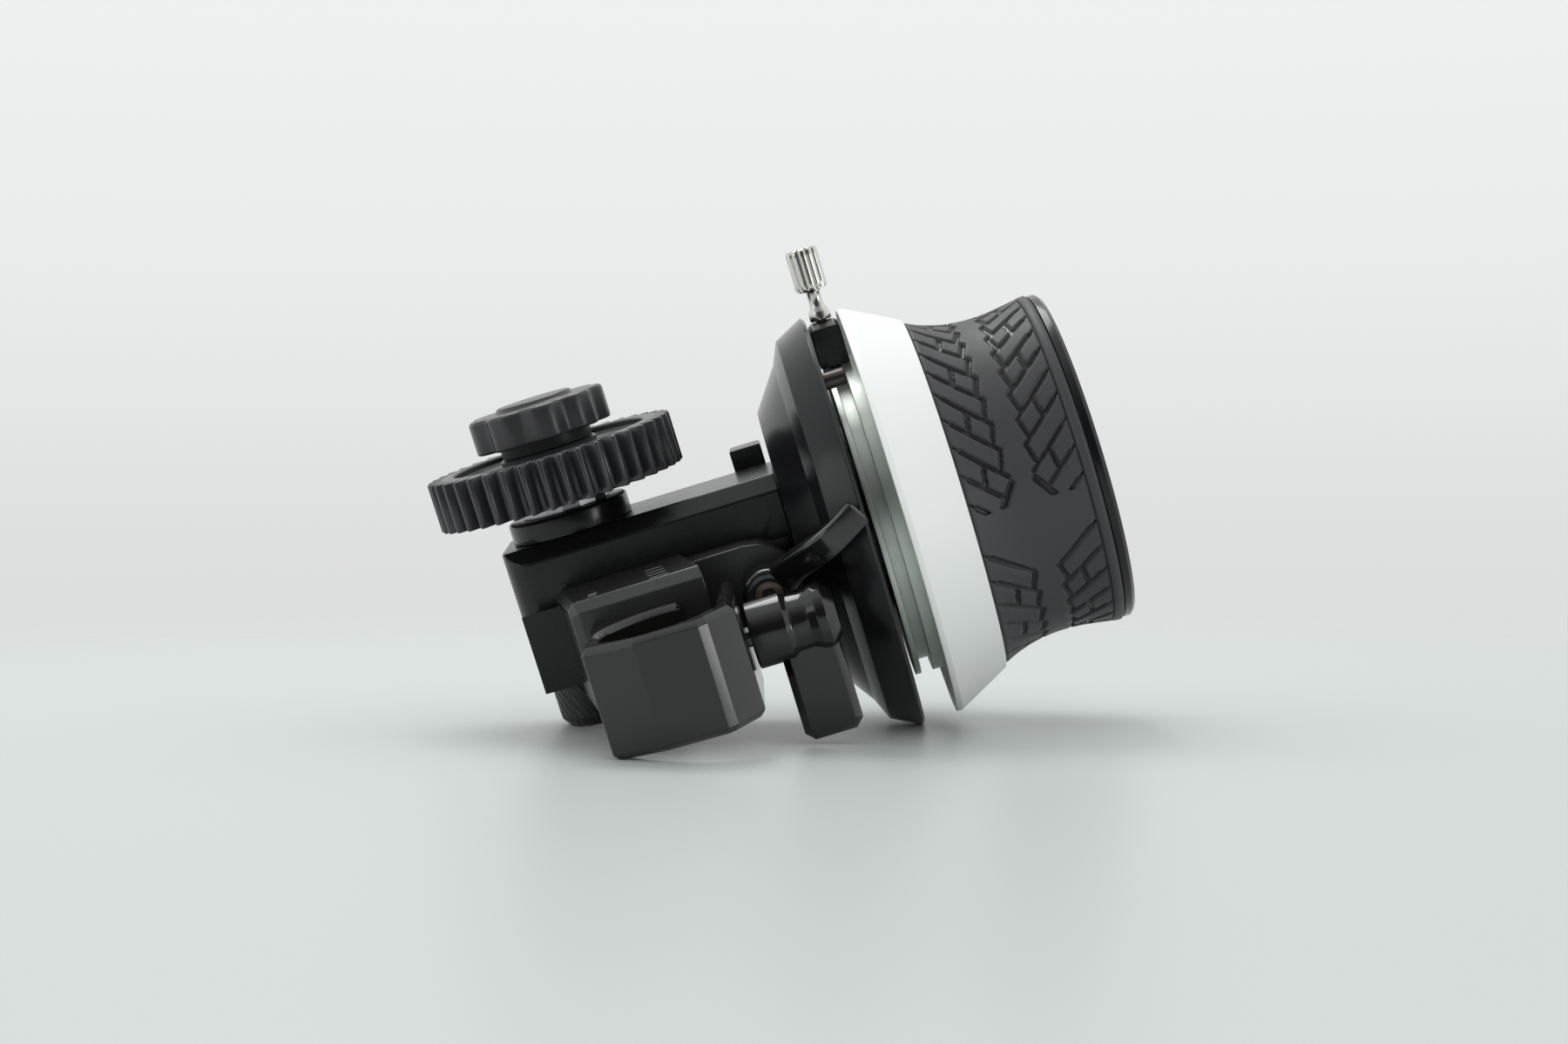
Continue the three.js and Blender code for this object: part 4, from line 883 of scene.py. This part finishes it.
def socket_head(axis, centre, back, front, radius, depth, flat):
    """A head from back to front with a socket of the given depth, closed at both ends."""
    out = 1 if front > back else -1
    turn = 2 * np.pi * np.arange(SOCKET_ROUND) / SOCKET_ROUND
    rows = [(back, 0), (back, radius), (front - out * 0.15, radius), (front - out * 0.04, radius - 0.05)]
    rows += [(front, radius - 0.15)]
    grid = [along(axis, a, np.full(SOCKET_ROUND, float(r)), turn, centre) for a, r in rows]
    inside = [(front, flat + 0.06), (front - out * 0.06, flat), (front - out * depth, flat)]
    grid += [along(axis, a, hexagon(turn, r), turn, centre) for a, r in inside]
    grid += [along(axis, front - out * depth, np.zeros(SOCKET_ROUND), turn, centre)]
    return skin(np.array(grid))


for i, degrees in enumerate((0, 120, 240), 1):
    spot = on_wheel(SCREW_CIRCLE, degrees)
    head = piece(f"plate_screw_{i}_head", [socket_head("x", spot, 67.75, 68.25, 1.45, 0.3, 0.62)])
    dress(head, steel, "wheel", [f"end_plate_screw_{i}"])
centre_head = piece("wheel_end_screw_head", [socket_head("x", (0, 0), 61.95, 65.35, 3.4, 1.9, 1.6)])
dress(centre_head, steel, "wheel", ["wheel_end_screw"])
lock_head = piece("lock_screw_head", [socket_head("y", (LOCK_X, LOCK_Z), -22.1, -23.6, 1.9, 0.9, 0.9)])
dress(lock_head, warm_steel, "lock_lever", ["lock_screw"])

pin_rows = rounded([[35, 0], [35, 1.1], [40.4, 1.1], [40.4, 0]], [0, 0.1, 0.3, 0])
stop_pin = piece("stop_pin_body", [skin(lathe("x", pin_rows, 48, centre=on_wheel(PIN_CIRCLE, PIN_DEGREES)))])
dress(stop_pin, dark_steel, "gearbox", ["stop_pin"])

# %% [markdown]
# A short scale is cut into the slider's top: four marks at one end and three shorter ones at the other.
# Marks this fine are filled with pale paint, so thin strips that lie on the surface stand for them.

# %% Scale marks on the slider
SLIDER_TOP = 4.2
SUNK = 0.05  # how far a mark reaches into the slider


def strips(boxes, z, thickness):
    """Flat bars, each (left, right, near, far), that stand the thickness proud of the height z."""
    left, right, near, far = np.asarray(boxes, float).T
    low = np.stack([left, near, right, near, right, far, left, far], -1).reshape(-1, 4, 2)
    base = np.concatenate([low, np.full((len(low), 4, 1), z - SUNK)], -1)
    top = base + [0, 0, thickness + SUNK]
    points = np.concatenate([base, top], 1)
    sides = np.array([[3, 2, 1, 0], [4, 5, 6, 7], [0, 1, 5, 4], [1, 2, 6, 5], [2, 3, 7, 6], [3, 0, 4, 7]])
    faces = (8 * np.arange(len(low))[:, None, None] + sides).reshape(-1, 4)
    return points.reshape(-1, 3), faces.tolist()


marks = [(9.6 - 0.35 * i, 12.0 - 0.35 * i, -24.3 + 2.6 * i, -23.9 + 2.6 * i) for i in range(4)]
marks += [(1.5, 2.6, -24.2 + 0.8 * i, -23.8 + 0.8 * i) for i in range(3)]
scale_paint = finish("scale_paint", (0.2, 0.2, 0.2), 0.5)
scale = piece("slider_marks", [strips(marks, SLIDER_TOP, thickness=0.02)])
dress(scale, scale_paint, "slider", ())

# %% [markdown]
# What is left of the CAD keeps its own shape: shafts, bushings, bevel gears and screws inside. Each still
# gets a real finish, because someone may look through the end plate's hole or take the part apart.

# %% Finishes for the nodes that stay
BY_SLOT = {
    "black_anodised": black, "moulded_plastic": moulded, "grip_rubber": rubber, "white_plastic": white,
    "satin_nickel": nickel, "steel": steel, "bronze": bronze, "brass": brass,
}
for row in frame["record"]["subparts"]:
    node = frame["nodes"][row["node"]]
    node.data.materials.clear()
    node.data.materials.append(BY_SLOT[row["material_slot"]])

# %% [markdown]
# In the photograph the object lies tilted on a table and touches it at three places: the clamp's corner,
# the flange's edge and the lower cap's edge. The table's plane is found by trial: take the lowest point of
# each of the three along the present upward direction, lay a plane through them, and repeat.

# %% Find the table
FIRST_GUESS = [0.29, 0.1285, 0.948]
TRIALS = 6

resting = [
    mesh_points(frame["nodes"]["rod_clamp"].data),
    mesh_points(flange.data),
    mesh_points(frame["nodes"]["lower_cap"].data),
]
up = unit(np.array(FIRST_GUESS))
for _ in range(TRIALS):
    feet = np.array([points[np.argmin(points @ up)] for points in resting])
    normal = unit(np.cross(feet[1] - feet[0], feet[2] - feet[0]))
    up = normal * np.sign(normal @ up)
table_height = float(feet.mean(0) @ up)
print("table normal", up.round(4), "height", round(table_height / MM, 2), "mm")

# %% [markdown]
# The camera stands where the photograph was taken from, found by matching the gear, the clamp and the wheel.
# It is turned once about a slanted axis: the three numbers point along that axis, and their length is the
# angle. Blender's camera looks along its own -Z with +Y up.

# %% Camera
CAMERA_TURN = np.radians([7.51, -16.91, 0.11])
CAMERA_PLACE = np.array([32.8, -320, 44.6])
SENSOR = 36
FOCAL_SHARE = 2757 / 1800  # the focal length over the picture's width, both in pixels

angle = np.linalg.norm(CAMERA_TURN)
kx, ky, kz = CAMERA_TURN / angle
K = np.array([[0, -kz, ky], [kz, 0, -kx], [-ky, kx, 0]])
tilt = np.eye(3) + math.sin(angle) * K + (1 - math.cos(angle)) * K @ K
right, down, forward = np.array([[1, 0, 0], [0, 0, -1], [0, 1, 0]]) @ tilt
camera_data = bpy.data.cameras.new("photo_camera")
camera_data.sensor_fit = "HORIZONTAL"
camera_data.sensor_width = SENSOR
camera_data.lens = FOCAL_SHARE * SENSOR
camera_data.clip_start = 0.01
camera = bpy.data.objects.new("photo_camera", camera_data)
bpy.context.scene.collection.objects.link(camera)
axes = np.eye(4)
axes[:3, 0], axes[:3, 1], axes[:3, 2] = right, -down, -forward
axes[:3, 3] = (CAMERA_PLACE + CROSSING) * MM
camera.matrix_world = Matrix(axes.tolist())
bpy.context.scene.camera = camera
print("camera at", axes[:3, 3].round(4), "lens", round(camera_data.lens, 2))
print("the picture's right side rises by", round(float(right @ up), 4))

# %% [markdown]
# The floor is a pale disc in the table's plane. It is a little glossy, so it shows a soft reflection. At such
# a low angle it mirrors most of the pale wall, so its own colour is darker than it looks. It fades out with
# distance, because the photographed table ends shortly behind the object, and it is clear from below.

# %% Floor
FLOOR_RADIUS = 0.42  # metres
FADE_FROM, FADE_TO = 0.10, FLOOR_RADIUS * 0.9  # distances from the frame's origin in metres
spokes = 2 * np.pi * np.arange(96) / 96
side = unit(np.cross(up, [0, 1, 0]))
other = np.cross(up, side)
reach = (FLOOR_RADIUS * np.array([0, 0.25, 0.5, 0.75, 1]))[:, None, None]
disc_grid = up * table_height + reach * (np.cos(spokes)[:, None] * side + np.sin(spokes)[:, None] * other)
floor_mesh = bpy.data.meshes.new("floor")
floor_points, floor_faces = skin(disc_grid)
floor_mesh.from_pydata(floor_points.tolist(), [], floor_faces)
floor = bpy.data.objects.new("floor", floor_mesh)
bpy.context.scene.collection.objects.link(floor)
work = bmesh.new()
work.from_mesh(floor_mesh)
bmesh.ops.remove_doubles(work, verts=work.verts, dist=SAME_PLACE)
work.faces.ensure_lookup_table()
if np.array(work.faces[0].normal) @ up < 0:
    bmesh.ops.reverse_faces(work, faces=work.faces)
work.to_mesh(floor_mesh)
work.free()


def either(tree, factor, first, second):
    """The first shader where the factor is 0, the second where it is 1."""
    sockets = {"Fac": factor, 1: first, 2: second}
    return add_node(tree, "ShaderNodeMixShader", sockets).outputs["Shader"]


floor_coat = bpy.data.materials.new("pale_table")
floor_coat.use_nodes = True
tree = floor_coat.node_tree
shader = tree.nodes["Principled BSDF"]
shader.inputs["Base Color"].default_value = (0.525, 0.558, 0.547, 1)
shader.inputs["Roughness"].default_value = 0.4
place = add_node(tree, "ShaderNodeTexCoord").outputs["Object"]
far = add_node(tree, "ShaderNodeVectorMath", {0: place}, operation="LENGTH").outputs["Value"]
fade = {"From Min": FADE_FROM, "From Max": FADE_TO, "Value": far}
fade = add_node(tree, "ShaderNodeMapRange", fade, interpolation_type="SMOOTHSTEP").outputs["Result"]
from_below = add_node(tree, "ShaderNodeNewGeometry").outputs["Backfacing"]
hidden = add_node(tree, "ShaderNodeMath", {0: fade, 1: from_below}, operation="MAXIMUM")
clear = add_node(tree, "ShaderNodeBsdfTransparent").outputs["BSDF"]
coat = either(tree, hidden.outputs["Value"], shader.outputs["BSDF"], clear)
tree.links.new(coat, tree.nodes["Material Output"].inputs["Surface"])
floor_mesh.materials.append(floor_coat)
print("floor", len(floor_mesh.polygons), "faces")

# %% [markdown]
# The studio is a pale room. A black object shows its shape mostly by what it mirrors, so the room matters
# more than the lamps. The wall behind is pale and gets lighter upwards. The side where the camera
# stands is dim, which keeps the faces that look that way deep black. Mirrors see this room, and dull surfaces
# are lit by an even dome that is a little brighter above than below.

# %% World
WALL_TONES = [(0.0, 0.80), (0.2, 0.79), (0.35, 0.725), (0.46, 0.735), (0.62, 0.82), (0.9, 0.89)]
WALL_TINT = (0.967, 1.0, 0.992)
WALL_SPAN = 0.25  # the wall's tones lie between this far below and above the horizon, as a cosine
DIM_UNTIL, PALE_FROM = -0.93, -0.3  # cosines with the camera's forward direction
DOME_BELOW, DOME_ABOVE = 0.72, 1.1

world = bpy.data.worlds.new("pale_studio")
bpy.context.scene.world = world
world.use_nodes = True
tree = world.node_tree
direction = add_node(tree, "ShaderNodeTexCoord").outputs["Generated"]


def measured_along(vector, low, high):
    """0 to 1 as the cosine between the ray and the vector goes from low to high."""
    sockets = {0: direction, 1: [float(part) for part in vector]}
    cosine = add_node(tree, "ShaderNodeVectorMath", sockets, operation="DOT_PRODUCT").outputs["Value"]
    span = {"From Min": low, "From Max": high, "Value": cosine}
    return add_node(tree, "ShaderNodeMapRange", span).outputs["Result"]


def background(color, strength=1.0):
    """A background whose colour and strength are each a value or another node's output."""
    sockets = {"Color": color, "Strength": strength}
    return add_node(tree, "ShaderNodeBackground", sockets).outputs["Background"]


wall = add_node(tree, "ShaderNodeValToRGB", {"Fac": measured_along(up, -WALL_SPAN, WALL_SPAN)})
wall.color_ramp.interpolation = "B_SPLINE"
first_end, last_end = wall.color_ramp.elements
first_end.position, last_end.position = WALL_TONES[0][0], WALL_TONES[-1][0]
for position, _ in WALL_TONES[1:-1]:
    wall.color_ramp.elements.new(position)
for element, (_, tone) in zip(wall.color_ramp.elements, WALL_TONES):
    element.color = (*(tone * part for part in WALL_TINT), 1)
pale_wall = background(wall.outputs["Color"])
dim_side = background((0.03, 0.031, 0.032, 1))
mirrored = either(tree, measured_along(forward, DIM_UNTIL, PALE_FROM), dim_side, pale_wall)
dome = {"To Min": DOME_BELOW, "To Max": DOME_ABOVE, "Value": measured_along(up, -1, 1)}
dome = add_node(tree, "ShaderNodeMapRange", dome).outputs["Result"]
even_light = background((0.95, 0.975, 0.97, 1), dome)
rays = add_node(tree, "ShaderNodeLightPath").outputs
mirror_rays = {0: rays["Is Glossy Ray"], 1: rays["Is Transmission Ray"]}
mirror_ray = add_node(tree, "ShaderNodeMath", mirror_rays, operation="MAXIMUM").outputs["Value"]
room = either(tree, mirror_ray, even_light, mirrored)
room = either(tree, rays["Is Camera Ray"], room, pale_wall)
tree.links.new(room, tree.nodes["World Output"].inputs["Surface"])
print("room tones", [tone for _, tone in WALL_TONES])

# %% [markdown]
# Three square lamps add what the room doesn't give. One from above gives the soft shadow on the table. One
# on the right, in front, is there for its reflection, the bright band on the clamp's facet. A weak one on
# the left, in front, lifts the faces that look towards it. Seen from behind, the right lamp also makes a
# pale patch on the table.

# %% Lamps
AIM = np.array([30.0, -8.0, 3.0])  # about the object's middle


def softbox(name, offset, size, power):
    """A square area lamp that faces the object's middle, at an offset of (right, back, up) in metres."""
    data = bpy.data.lights.new(name, "AREA")
    data.energy = power
    data.size = size
    lamp = bpy.data.objects.new(name, data)
    bpy.context.scene.collection.objects.link(lamp)
    aim = (AIM + CROSSING) * MM
    place = aim + offset[0] * right + offset[1] * forward + offset[2] * up
    back = unit(place - aim)
    across = unit(np.cross(up + 0.01 * forward, back))
    spin = np.eye(4)
    spin[:3, 0], spin[:3, 1], spin[:3, 2], spin[:3, 3] = across, np.cross(back, across), back, place
    lamp.matrix_world = Matrix(spin.tolist())
    return lamp


softbox("top_light", (-0.12, 0.22, 0.5), 0.26, 1.1)
softbox("side_light", (0.575, -0.422, 0.06), 0.18, 0.45)
softbox("fill_light", (-0.6, -0.42, 0.1), 0.3, 0.24)
bpy.context.scene.view_settings.view_transform = "Standard"
